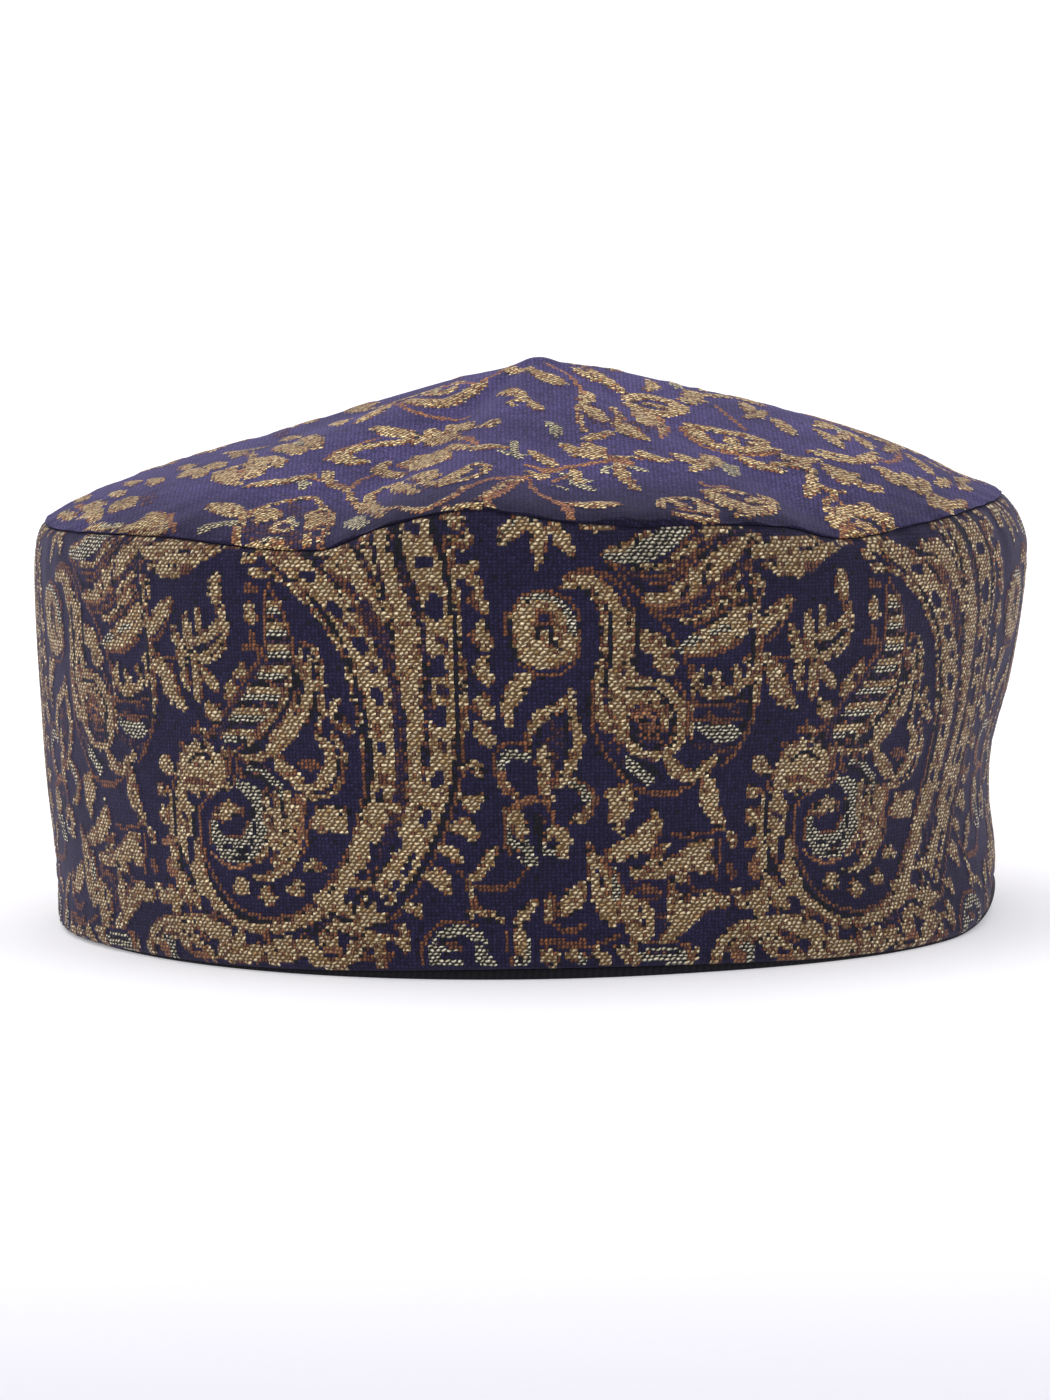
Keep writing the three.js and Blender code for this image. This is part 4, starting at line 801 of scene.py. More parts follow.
crownChart = readChart("""
# rose by the seam on the left
plum -50 -75 5 -46 -79 7 -42 -82 6
plum -43.4 -65 3 -42.4 -70 3.4
stem -53.8 -79 1.2 -53.6 -73.4 1.2 -51.6 -67 1.2 -48.8 -64.2 1.2 -44 -62.6 1.2 -39.8 -61.8 1.3
  -38.4 -64.4 1.2 -38.2 -68.2 1.2 -36.2 -71 1.2 -35.8 -75 1.2 -36.6 -79.4 1.2 -37.8 -83 1.4 -37.8 -88 1.4
gold -49.6 -66.8 4 -47.6 -69 4.8 -49.4 -71 2.4
gold -39.8 -70.6 3 -38.6 -74 4.2 -39.4 -77.6 3
gold -54.4 -80 1.6 -50.4 -81 2.8 -46.4 -83.6 3 -43.4 -86.4 2
gold -47 -75.6 1 -45.4 -72.8 1.2 -43 -74.4 1.2 -43.8 -77.4 1.2 -46.4 -77.4 1
stem -47.6 -79.6 1 -45 -81.6 1.2
# comb leaf and bud beside it
pale -60 -71 2.8 -56.6 -70.6 3.2 -53.8 -71.4 2.2
gold -59.4 -58.4 1.4 -57 -61.6 4.4 -54.4 -65.4 3.8 -52.4 -68.6 1.4
gold -75.8 -56.6 2.2 -73 -58.8 3.8 -70 -62 2.6
gold -70.8 -53.4 1.6 -70 -57.4 3.8 -68 -62 2.6
gold -75 -61.4 2 -71.6 -64.4 2.6 -67.8 -67 2
stem -66.8 -57.6 1 -66.4 -62.6 1.2 -65.6 -68 1
gold -83.6 -44.6 1.4 -81 -48.4 2 -78 -52.6 2 -75.6 -55.6 1.4
# flower heads along the left
gold -56.4 -32.6 3 -57.4 -37.4 4 -54.6 -42 3.4
gold -52.6 -30 3 -52.4 -37 3 -52 -44 4
gold -49.6 -32 3 -47.6 -37 3.2 -47 -41 1.6
stem -54.8 -38 1.8 -54.4 -39.4 1.8
gold -65.4 -18 4 -64.6 -24 5 -62.6 -29 3
gold -61 -16.6 3 -60.2 -22.6 4.2 -59.4 -27.4 2.6
stem -55 -13 1.2 -53.6 -20 1.2 -52.6 -28 1.2
gold -48 -20 3 -46.2 -26.4 4 -43.6 -33.6 3
gold -42.6 -19.4 3 -41.4 -26.4 4 -40.2 -33 2.4
pale -44.6 -22 1.4 -43.4 -27 1.6
gold -76.8 -31 2 -76.2 -36 4.2 -75.6 -41.4 2.6
gold -84 -27.6 1.8 -83.2 -33.4 3.6 -82 -39.4 2.2
stem -88 -12 1.4 -85.6 -19 1.6 -81.6 -26.6 1.2
gold -73.4 -12.4 1.6 -72 -18 3.4 -71.6 -23.6 2
gold -80.4 -14.4 1.4 -79.2 -19.6 2.8 -78.4 -24 1.4
gold -57 -5 2 -56 -10 3.4 -56.4 -15 2
gold -67.4 -3 2 -66.4 -8 3.2 -66 -12.6 1.6
gold -47.4 -3 2.4 -46 -8.6 3.4 -44.6 -13.6 2
gold -32 -20.4 2.4 -29.6 -15.4 4.4 -27.4 -9.4 3
gold -37.6 -6 2 -36 -11.4 3.2 -36.2 -16.6 1.6
# hooked leaf
gold -29 -28.4 2.2 -26.4 -31.4 3.6 -23 -33.4 3.8 -22.8 -36.4 2.4 -27.6 -36.8 2.2 -32.4 -38.2 2.8
  -35.4 -41 4 -34 -44 3.6 -30.6 -45 1.4
stem -38 -41.6 1 -36 -37.8 1 -31.4 -35.4 1 -28.4 -34 1
gold -23 -12 2.4 -20.4 -17 3.6 -16.2 -20 4 -12.4 -17.6 3.6 -9 -12.6 2.6
gold -19.6 -9.6 1.8 -16.4 -13.6 3 -14 -10.8 1.8
stem -27.4 -4 1 -25 -12.6 1 -22 -22 1.1 -16 -27.4 1.2 -11 -30.4 1
# banded leaf pairs
gold -21.6 -38.4 1 -18.8 -34.8 1.8 -15.8 -36.4 1.8
gold -18.2 -33 2 -16.4 -38.6 3.8 -13.8 -45.4 2.2
gold -14.8 -32.4 2 -12.6 -37.8 3.4 -10.4 -43.8 2
stem -14.4 -43.6 1.2 -11.4 -50 1.4 -9.4 -57.6 1.2
gold -21 -46 2.2 -18.8 -51.6 5.4 -16.6 -57 5 -15.4 -61 2
stem -24.2 -48 1.2 -21.8 -53.4 1.3 -18.8 -60.4 1.2
gold -14.6 -50.6 1.4 -13 -54.4 2.4 -11 -58.6 1.2
gold -26.6 -46.6 1.4 -28 -49.8 2.8 -25.8 -52.8 2.2 -22.4 -56.4 1
gold -52 -50.6 2.2 -48.6 -51.4 3.2 -44.4 -52.4 1.8
pale -43.4 -50 1.6 -42 -53.6 2.4 -41.8 -57 1.4
gold -37.8 -49.4 1.8 -37.2 -53.6 2.2
# vines
stem -40.4 -52 1.1 -37 -54.6 1.2 -34.6 -56.4 1.2 -33.4 -58.8 1.6 -31.6 -54.6 1.1 -29 -52.6 1
stem -33.4 -58.8 1.6 -33 -64 1.3 -31.4 -69.4 1.2 -30 -74.4 1.2 -28.4 -78.6 1.2 -26 -83.4 1.2
  -23 -87.4 1.2 -20.6 -91 1.2 -18 -92.4 1.2 -14 -90 1.2 -11.4 -86 1.2 -8 -82 1.2 -4 -79.4 1.2
  -0.4 -77 1.2 3 -73.6 1.3 6 -70.2 1.5 9.4 -67.4 1.5 14 -64.6 1.4 17.4 -62.4 1.4 23 -60.6 1.2
  30 -59.4 1.2
stem -9 -96 1.6 -6 -90.6 1.5 -3.6 -85 1.3 -1.4 -79 1.2
stem 0 -78 1.1 1 -84 1.2 3.4 -87.4 1.3 6.4 -90.4 2 7.6 -95 2
gold -15 -94.2 1.6 -11 -95.4 2 -7 -95.6 1.4
gold 8.6 -89.4 2 11.6 -89.4 2.8 15.6 -89 2.2
gold -29 -64.4 1.4 -27.4 -61.6 1.6 -25 -62 1.8 -24.2 -66.6 2.4 -22.8 -71.6 2.6 -20.4 -79 1.6
gold -29.2 -64 1.4 -29.2 -69.6 1.8 -28.4 -75.4 2 -27.6 -81 2 -26.8 -86.4 1.2
gold -21.8 -63.6 1.6 -18.8 -67.4 3.6 -17.4 -72 2.4
gold -19.8 -70.4 1.4 -18.4 -75.4 1.8 -15.8 -79 1.8 -12.4 -79.6 1.6 -8.8 -78 1.6 -7.6 -74 1.5
  -9.4 -70.6 1.4
gold -15.4 -76.4 3 -12.2 -74 3 -10.6 -71.6 1.4
pale -33.4 -79 1.4 -32.4 -81.6 1.4 -31.4 -84.4 1
pale -32 -76 1 -30.6 -80.6 1.4 -29.6 -86.6 1
# sprigs in the middle
pale 6 -72.4 1.4 8.4 -75.4 2.2 11.4 -75.6 1.2
pale 7.6 -75.6 1.4 9.4 -78.4 2.6 11.6 -80.6 1.2
pale 5 -79.6 1.2 7 -81.4 1.2
stem 4.4 -77.4 1 7.2 -73.8 1 8.4 -70 1
stem 0 -70.4 1.6 3.4 -71.8 1.8 6 -70.4 1.2
gold 1.6 -63.6 1.4 3.6 -66.4 2.6 4.4 -69.4 1.4
gold 0.2 -74.4 1.2 2 -76.4 1.8 3.4 -74 1.2
gold 16.6 -65.6 1.4 17.4 -71.4 2.6 19.6 -78.4 1.4
pale 17.4 -65.6 1.6 19.6 -67 2.2 21.8 -68 1.2
pale 13.8 -70.6 1.6 14.8 -67.4 1.6
gold -10.2 -59.6 1.6 -7.4 -60.8 2.8 -4.4 -62 1.8
pale -2.6 -58 1.2 -2.4 -62 1.6 -2 -67 1.6
pale -5.4 -64 1.2 -2.6 -66 1.8 -0.4 -65 1
gold 6.8 -56.8 2 9.6 -59.2 2.8
gold 11.2 -55.4 2 12.8 -59.4 3.2 14 -62.4 2
gold 8.8 -62.4 1.6 12.4 -62.6 1.8
stem 15.4 -62 2.4 18.4 -64.8 3
gold 20.8 -57.6 2 22.8 -60 3.2 25.4 -61.2 1.8
gold 27.6 -56.6 2 30 -58 3 31 -60 1.4
gold 33.4 -57 2 32.4 -60.6 2.8 30.4 -64.4 1.4
gold 34 -51.8 3 36 -54.8 4.6 37 -57.4 2
pale 38.8 -52.6 1.4 38.6 -57 2 38 -61.4 1.2
# right flower heads
gold 32.8 -75.4 2 34.8 -78.6 4 37.4 -82.2 3
gold 33.8 -74.4 1.6 37.4 -72.4 2 40 -72.4 1.2
gold 42.8 -70.4 1.4 44.4 -74 1.8 44.4 -78.4 1.8
gold 40.6 -76.6 2.6 42.4 -74.2 3
gold 37.8 -79.6 3 41.4 -80.8 3.6 44 -79 2
gold 39 -81.6 1.6 37.4 -86 1
gold 41.6 -82 1.8 39.8 -85.6 1
stem 31.4 -70.6 1 33.4 -72.4 1 36.4 -70.4 1
plum 38 -75.4 2 38.8 -77.4 2
gold 24 -88.4 1.2 24.4 -84 1.4 27 -81.6 1.4 31 -81 1.2 33.2 -83.6 1.2 33.6 -88 1
gold 26 -84 2.6 28 -85.6 2.4
gold 31.2 -82.6 2.4 32 -86.4 2.6
gold 26.4 -90.8 1.4 30 -90.6 2 34.2 -89.4 1.4
stem 27.4 -88 1.4 30 -87.6 1.2
gold 53 -47.6 1.8 53.4 -53 1.8 52.8 -57 2.6 51.8 -61 1.6
gold 54 -54.6 1.2 56.6 -56.8 1.8 58.8 -55.8 1.2
gold 56.4 -59.6 1 55.2 -62.6 1.3 55.2 -66.4 1
stem 56.8 -58.4 1 58.2 -61.4 1 59 -65 1.2
gold 62.8 -60.4 2.6 61.4 -64 3.8 60 -66.4 2
gold 66 -62.4 2.2 65.4 -66.4 3
gold 59 -66 2.4 57.2 -69.4 3.6
stem 58.6 -72 2.8 57.8 -76.2 2.6
shade 60.2 -66.4 1 63.6 -66.8 1.2 65.4 -70 1
gold 61.4 -69.4 2.6 63 -70.4 2.6
gold 67.4 -67.4 2 64.6 -71.8 2
gold 60 -72.6 1.6 62 -73.6 2
# daisy
gold 30.8 -32.6 2 32 -37 3.6 34 -41.4 3
gold 33.4 -33.2 2.4 37.6 -34 3.2 41.4 -34.2 3 45 -36 2.4
gold 35 -42.4 2.8 39.4 -43 3.4 43.8 -41.8 3.2 47 -39.2 2
gold 38.6 -37.6 2.6 39 -40 2.6
gold 43 -38.6 3 44.6 -38 2.4
stem 29.4 -34 1 30.4 -39.4 1 33.4 -44 1 38.4 -45.6 1 44 -44.2 1 48 -40.8 1
gold 67.8 -35.4 2.2 68.6 -38.6 3.6 69 -42 2.4
gold 71.8 -34.4 2 72.4 -38.4 3.2 72.6 -42 2
gold 75.2 -33.6 2 75.4 -37.4 2.8 75 -40.6 1.6
gold 76 -42 2.2 77.2 -46 3.4 76.8 -50 2.2
gold 80 -43.4 1.6 79 -47 2.2 79.4 -50 1.4
gold 19.8 -21.4 3 22.4 -18.6 3.6 26.4 -18.6 3.6 29.4 -21.6 3.4 28 -26.4 3.4 23.4 -28 3.4 20 -25 3
gold 24 -23 2.4 25.8 -23.8 2.2
stem 36.4 -14 1 38.6 -21 1.1 41.6 -29.6 1
gold 42.6 -6 1.8 43.4 -12 3.2 44.6 -18 1.8
gold 48 -15.6 1.8 49.6 -21 3.2 50.8 -26.4 1.8
gold 56 -16.6 1.8 58.6 -21.6 3.4 60 -27.4 1.8
gold 56.4 -34 1.8 60.4 -35 3 64.2 -33.8 2.2 67.4 -27.4 1.2
gold 62.6 -9 1.8 65 -14.6 3.2 66 -20.6 1.8
gold 74 -12 1.6 76.4 -18.6 3.2 77.6 -25 1.8
gold 83 -17 1.4 84 -23 2.6 83.6 -29 1.4
stem 70 -6 1 72 -14 1.1 71 -24 1.1 68.4 -30 1
# leaves near the tip
gold 1 -11.4 2.4 3.8 -14.6 4.4 6.4 -18.6 2.6
gold 12.8 -5.4 1.6 15.4 -11.6 3 18.8 -18.4 1.6
gold 31.6 -5.4 1.6 32.6 -11.4 3 31.6 -17.4 1.6
gold 24 -4 1.4 24.6 -9 2.6 23.4 -13.4 1.4
gold -4.4 -23 2.2 -2.4 -26.4 3.8 -0.6 -30 2
gold 11.6 -23.4 2 11.2 -27.4 3 11 -31.4 1.6
gold -2.8 -35.4 1.2 -3 -32.8 1.2 -0.6 -31.6 1.4
gold 0.8 -32.4 2.2 2 -35.4 2.8
gold 22.4 -31.4 2.6 22.8 -35.4 4.6 22 -39.6 2.4
stem 25.4 -30 1.1 26.4 -38 1.3 25 -46.4 1.1
stem 17.4 -33.4 1.4 18 -38.4 1.6 18.2 -43 1.2
stem 9.4 -32.6 1.1 9.8 -38.6 1.2 10.2 -45 1
gold 17.8 -43.4 2.4 19 -46.6 3.6 21.8 -49.4 1.6
gold 11.4 -52.4 2 13 -50.4 2.8 15.2 -48.4 1.6
pale 3.8 -43.6 1.4 5.2 -47 2.6 5.4 -52 1.2
gold -8.4 -45.4 1.2 -7.2 -43.6 1.3 -5.6 -45.2 1.3 -6.8 -47.6 1.2
gold 40.6 -47.6 2.4 43.6 -50 3.8 47.2 -50.6 2
gold 45.6 -48.2 1.8 49 -47.2 2.8 52.4 -47.6 1.4
gold 48.6 -44.4 2 52 -43 3 54.8 -40.6 1.8
gold 56.8 -45.4 2 58.4 -48.2 3.4 59.4 -51 1.8
gold 61.4 -49 2 64.4 -50.4 2.8 65.6 -47.8 1.8
gold 60.2 -46.8 1.6 61.8 -44.6 1.8
stem 4 -5 1 8 -11 1 10 -19 1 11 -24 1
# left flank
gold -84.6 -20 3.4 -83.6 -25 4.4 -82.8 -30 2.6
gold -85 -32 2 -82.6 -37 3 -81.6 -42.6 1.8
gold -79 -31 1.6 -78.6 -36 2.8 -78 -41 2
plum -72.6 -36 4 -72 -43 3.4
gold -63.4 -26 3.4 -62.6 -31.6 2.2
gold -59.4 -33 1.6 -58.6 -38 2.8 -56.4 -44.6 2.6 -54.4 -48 1.6
gold -50.8 -30 2 -50.2 -36 3 -50.6 -42 2
gold -53.8 -14 0.9 -53.4 -20 1.2 -52.4 -28 0.9
pale -80.6 -48 1.2 -78.4 -51.4 1.6 -76.2 -54 1.2
gold -74.6 -57.4 2.4 -73 -60.6 3 -70 -64.6 2.6
gold -70.2 -54.4 1.8 -69.2 -58.6 3 -68.2 -65.6 1.8
gold -90.4 -14 1.4 -89 -22 2.6 -87.4 -28 1.4
gold -78.6 -3 1.6 -77 -9 2.8 -76.6 -13 1.4
gold -88.6 4 1.6 -87.4 -2 3 -86.6 -8 1.6
# round the rose by the seam
gold -53.2 -79 0.7 -53 -73.4 1 -51.4 -67 0.9 -48.6 -63.8 1 -44 -62.2 1 -40 -61.6 1.1 -38.6 -65 0.9
  -37.8 -68.4 0.9 -36.2 -71.4 1 -36 -76 1 -37 -80 0.9 -38 -86 0.9
pale -43.6 -71 1.2 -42.8 -76 1.4
pale -48.4 -79.6 1.2 -45.4 -80.6 1.2
gold -52.2 -83 1.4 -48 -84.4 2 -44.4 -87 1.4
gold -40.6 -80.6 1.2 -40.4 -84 1.8
# vine, buds and big leaf
gold -50.4 -51.4 2 -46 -52 2.6 -41 -50.6 2 -40 -49.6 1.2
gold -38 -49.4 1.2 -37.6 -51.8 2.2 -37.4 -54.4 1.2
gold -37 -56 0.8 -34 -59 1 -33 -63 1.1 -31.4 -69 0.9 -30.8 -75 0.8
gold -27.8 -47.6 1.6 -27.8 -50.4 2.6 -26.6 -53.4 1.6 -23.6 -57 0.9
gold -22.6 -48.4 2 -20.6 -50 5 -18.4 -55.6 6 -17.2 -60.6 2.8
gold -19.6 -35.4 2 -18.2 -38 3.4 -16.8 -41.6 2
gold -14 -43 1 -12.4 -48.4 1.4
gold -7.6 -43.6 1.4 -7 -45.6 2.4 -6.8 -47.4 1.2
gold -29.6 -66 0.9 -30 -72 1.2 -28.4 -79 1.6 -27.2 -86 1
gold -20.8 -65.4 1.8 -19 -68.6 3.2 -17.6 -71 1.6
gold -16.6 -77.6 1.8 -14 -76.8 2.4 -11.6 -74.4 2
pale -33 -77.6 1 -32 -82 2.6 -30.4 -87 2
gold -26 -82 0.6 -22.6 -88 0.8 -19 -91.6 0.8 -14.8 -89.6 0.8 -11.2 -84 0.7
gold -9 -93.6 0.8 -6.6 -88.4 0.9 -4.2 -82.4 0.8 -1.4 -79 0.8
gold -9.6 -60.8 1.6 -7.4 -61.4 2.4 -5.4 -61.8 1.4
# pair of flower heads right of the middle
plum 12 -33 4 14.6 -41 6 20 -42 6 24 -38 5
gold 10.4 -31.6 1.6 12.6 -36 3.6 14.4 -40 2
gold 21.4 -27.4 3 22.6 -33 4.8 22.4 -38.6 2.8
gold 17.4 -41.4 2 18.8 -44 4 21.4 -48.4 2.4
gold 16.4 -31 0.8 17.2 -37 1.2 16.6 -43 0.8
gold 25.4 -32 0.7 25.8 -38 0.9 25 -44.6 0.7
gold 15.4 -47.4 1.6 13 -50 2.2 11 -52.4 1.4
gold 9.6 -34 0.7 9.8 -41 0.8 10.8 -47.6 0.7
gold 7 -56.6 1.8 8 -58 2.8 8.4 -60.8 1.4
gold 11.4 -56 2.4 12.8 -58.6 3.6 10.6 -61.6 2
gold 14 -62 0.8 18 -61.4 1.2 24 -60.2 1 30 -59.2 0.8
gold 32.8 -58.4 2.2 34.4 -54.4 4 34.8 -50.4 2.2
pale 37.4 -53.6 1.6 37 -59.6 1.6
gold 8.2 -69.6 1.2 8.6 -73 2.4 9.4 -77 1.4
gold 8 -89 1.8 12 -88.8 2.4 15.6 -88.2 1.6
gold 0.8 -62.4 1.6 2.6 -65.4 2.8 4.2 -68.4 1.4
gold 33.4 -75 1.8 35.8 -78.6 3 39.8 -82.4 3.4
gold 44.6 -70 1.8 44.4 -76 2.4 42.4 -81 2.6
# right flank
gold 54 -36.4 2 58 -37.4 2.6 62 -35.6 2.6 64.4 -31 1.8 67 -23.6 1
gold 66.6 -36.6 2.2 70.4 -37.4 3.4 75 -36.4 2.8
gold 70.4 -41.4 2 73.6 -42 3 76.6 -44 2
gold 77.4 -42.6 2.2 78 -46.6 4 76.6 -50.4 2.4
gold 82.4 -40 1.6 81.6 -44.6 2.2
gold 56.4 -43.4 1.8 59.4 -46 3.6 61.4 -49.6 2.4
gold 48.4 -42.6 2 51.4 -43.6 2.6 52.4 -47 1.6
gold 56.4 -72.6 2.4 57.2 -68 4 60 -63.6 4.4 64 -63 3.6 65.6 -66 2.4
gold 60.4 -70.6 1.4 62 -68.4 2 63.4 -70 1.4
gold 58.6 -75 1.4 60.6 -73.6 2
gold 85.6 -8 1.4 84.4 -14 2.4 83 -19.4 1.4
gold 62 -12 1.6 61 -18 2.6 58.6 -22.4 1.4
gold 72 -6 1.6 71 -12 2.6 69.6 -18 1.4
gold 80.6 -22.6 1.4 79.6 -28.4 2.4 78.6 -33 1.4
gold 46 -10 1.6 44.6 -15.6 2.8 42.4 -20 1.4
gold 33.6 -6 1.6 32.6 -11.6 3 30 -16 1.6
""")
print("charts read:", len(bandChart) + len(crownChart), "strokes")


weave = {
    "columns": 740, "repeats": 5,  # cells and pattern repeats round the band
    "repeat": 122.0,  # length of a repeat
    "row": 0.66,  # weft row height
    "raise": 0.30, "level": 0.3,  # how far the pattern stands out, and the cover that lies on the form
    "wander": 0.13,  # how far the corners of a float stray from their even places
    "rimWidth": 0.34, "rimBeyond": 0.8,  # broken edge of a gold shape, and its share outside the stroke
    "rimShares": {"rust": 0.34, "gold": 0.54, "shade": 0.12},
    "goldShares": {"gold": 0.92, "rust": 0.08},
    "float": {"gold": 1.18, "pale": 1.12, "stem": 0.95},  # length of a float
    "rowShift": 0.2, "brightBias": 0.7,  # uneven start of a row; below 1, more floats are bright than dull
    "tall": {"rust": 0.75, "pale": 1.2},  # rust picks run together into thin upright ticks
    "speckInGround": 0.012, "navyInShade": 0.25,
}
weave["cell"] = weave["repeat"] * weave["repeats"] / weave["columns"]  # width of a cell
yarnLooks = {  # brightest and dullest colour, colour in the gap (the darker yarn between floats with painted shade over it), how much of a float it makes, stray
    "navy": ("#2b2648", "#231f3e", "#1f1b38", 0.1, 0.26),
    "gold": ("#f4e2b8", "#aa844e", "#644a2e", 1.0, 0.24),
    "pale": ("#f6eed4", "#c6bc9a", "#1b1a18", 1.0, 0.24),
    "rust": ("#93603f", "#643f33", "#2c1e26", 0.8, 0.3),
    "shade": ("#22232c", "#16171e", "#0d0e13", 0.35, 0.2),
    "plum": ("#5c3d48", "#32263c", "#1b1526", 0.7, 0.3),
    "stem": ("#c08c5c", "#84583c", "#52343a", 0.6, 0.25),
}
yarns = list(yarnLooks)
mixtures = {  # areas of several yarns, with the share of each
    "plum": {"rust": 0.2, "plum": 0.42, "navy": 0.38},
    "dusk": {"shade": 0.42, "navy": 0.3, "plum": 0.2, "rust": 0.08},
}
markNumber = {mark: k for k, mark in enumerate(yarns + ["dusk", "rim"])}
stripeRows = ("pale", "dusk", "gold")  # striped leaves: one weft row after another


def paintStrokes(strokes, across, up, repeat=None):  # the yarn or mixture of every cell of the cloth
    cloth = np.zeros(across.shape, int)
    flatAcross, flatUp, flatCloth = across.ravel(), up.ravel(), cloth.ravel()
    for yarn, rows in strokes:
        line = smoothLine(rows)
        low, high = line.min(axis=0), line.max(axis=0)
        reach = high[2] / 2 + weave["rimWidth"]
        here = flatAcross
        if repeat:  # the nearest of the stroke's copies round the band
            middle = line[:, 0].mean()
            here = (flatAcross - middle + repeat / 2) % repeat - repeat / 2 + middle
        near = np.nonzero((here > low[0] - reach) & (here < high[0] + reach)
                          & (flatUp > low[1] - reach) & (flatUp < high[1] + reach))[0]
        if len(near) == 0:
            continue
        away = np.hypot(here[near, None] - line[:, 0], flatUp[near, None] - line[:, 1])
        gap = (away - line[:, 2] / 2).min(axis=1)
        hit = near[gap < 0]
        if yarn == "gold":
            edge = near[(gap > -weave["rimWidth"]) & (gap < weave["rimWidth"] * weave["rimBeyond"])]
            edge = edge[flatCloth[edge] != markNumber["gold"]]
            flatCloth[hit] = markNumber["gold"]
            flatCloth[edge] = markNumber["rim"]
        elif yarn == "stripe":
            turns = np.array([markNumber[mark] for mark in stripeRows])
            flatCloth[hit] = turns[np.round(flatUp[hit] / weave["row"]).astype(int) % len(turns)]
        else:
            flatCloth[hit] = markNumber[yarn]
    return cloth


def spinStitches(painted, seed, wrap, paintedLift=(1, 1, 1)):
    # lays the brick of floats over the painted cloth: each yarn has its own length of float, and every
    # other row starts half a float later
    rng = np.random.default_rng(seed)
    row, column = np.indices(painted.shape)
    chance, speckle, stray = rng.random((3,) + painted.shape)
    uneven = weave["rowShift"] * rng.random(painted.shape[0])[row]
    cloth = painted.copy()
    cloth[(painted == markNumber["shade"]) & (speckle < weave["navyInShade"])] = markNumber["navy"]
    cloth[(painted == markNumber["navy"]) & (speckle < weave["speckInGround"])] = markNumber["shade"]
    for mark, shares, draw in (("gold", weave["goldShares"], chance), ("rim", weave["rimShares"], chance),
                               ("plum", mixtures["plum"], speckle), ("dusk", mixtures["dusk"], speckle)):
        limits = np.cumsum(list(shares.values()))
        drawn = np.array([yarns.index(yarn) for yarn in shares])[np.searchsorted(limits[:-1], draw)]
        cloth = np.where(painted == markNumber[mark], drawn, cloth)

    perCell = weave["cell"] / np.array([weave["float"].get(yarn, weave["cell"]) for yarn in yarns])
    if wrap:  # a whole number of floats goes round
        perCell = np.round(perCell * weave["columns"]) / weave["columns"]
    brick = np.array([yarn in weave["float"] for yarn in yarns])[cloth]
    start = column * perCell[cloth] + brick * (row % 2 / 2 + uneven)
    tall = np.array([weave["tall"].get(yarn, 1.0) for yarn in yarns])[cloth]
    # gap colours: the darker yarn between the floats, with painted shade over it
    bright, dull, gapShadeColour = [np.array([fromHex(look[k]) for look in yarnLooks.values()])[cloth]
                               for k in range(3)]
    cover, unlike = [np.array([look[k] for look in yarnLooks.values()])[cloth] for k in (3, 4)]
    colour = dull + (bright - dull) * stray[..., None] ** weave["brightBias"]
    colour[..., :3] *= (1 + unlike * (2 * speckle - 1))[..., None]
    # painted light where a lift is given: the colours are painted brighter
    colour[..., :3] *= paintedLift
    end = start + perCell[cloth]
    return {"yarn": colour, "gap": gapShadeColour, "cover": cover, "start": start, "end": end, "tall": tall}


def addWeaveData(piece, stitches, cells, extra):
    # the woven faces take their cell's stitch, and the extra ones after them plain ground
    plain = {"yarn": fromHex(yarnLooks["navy"][0]), "gap": fromHex(yarnLooks["navy"][1])}
    for name in ("yarn", "gap"):
        values = np.vstack([stitches[name][cells], np.tile(plain[name], (extra, 1))])
        layer = piece.data.attributes.new(name, "FLOAT_COLOR", "FACE")
        layer.data.foreach_set("color", values.astype(np.float32).ravel())
    layer = piece.data.attributes.new("cover", "FLOAT", "FACE")
    layer.data.foreach_set("value", np.r_[stitches["cover"][cells], np.zeros(extra)].astype(np.float32))


woolLook = {
    "tuft": 0.35, "wobble": 1.1, "patch": 18,  # mm: length of a tuft, of a float's wobble, of a patch of lighter and darker tone
    "fuzz": 0.32,  # how far the tufts brighten and darken a float
    "wobbleBy": (2.0, 1.8, 0),  # how far a float's outline strays, in half floats
    "lens": (1.2, 0.4),  # a float thins out between these distances from its middle
    "paintedGlint": (1.0, 0.05, 0.4, 1.2),  # painted highlight along the float's upper side and painted shade below it: from, to, dim, bright
    "glintCentre": (0.0, 0.25, 0.0), "relief": 0.25, "tuftRelief": 0.4,  # where the painted highlight centres, above the float's middle; mm of bump, and the tufts' share of it
    "ior": 1.5, "sheenRoughness": 0.42,
}
clothLook = {
    "band": {"sheen": 0.2, "sheenTint": "#bab0d4", "rough": 0.8, "specular": 0.2, "bump": 1.0,
             "lean": -0.4, "patchy": 0.12},
    "crown": {"sheen": 0.18, "sheenTint": "#a49cd8", "rough": 0.85, "specular": 0.15, "bump": 0.8,
              "lean": -0.3, "patchy": 0.3},
}


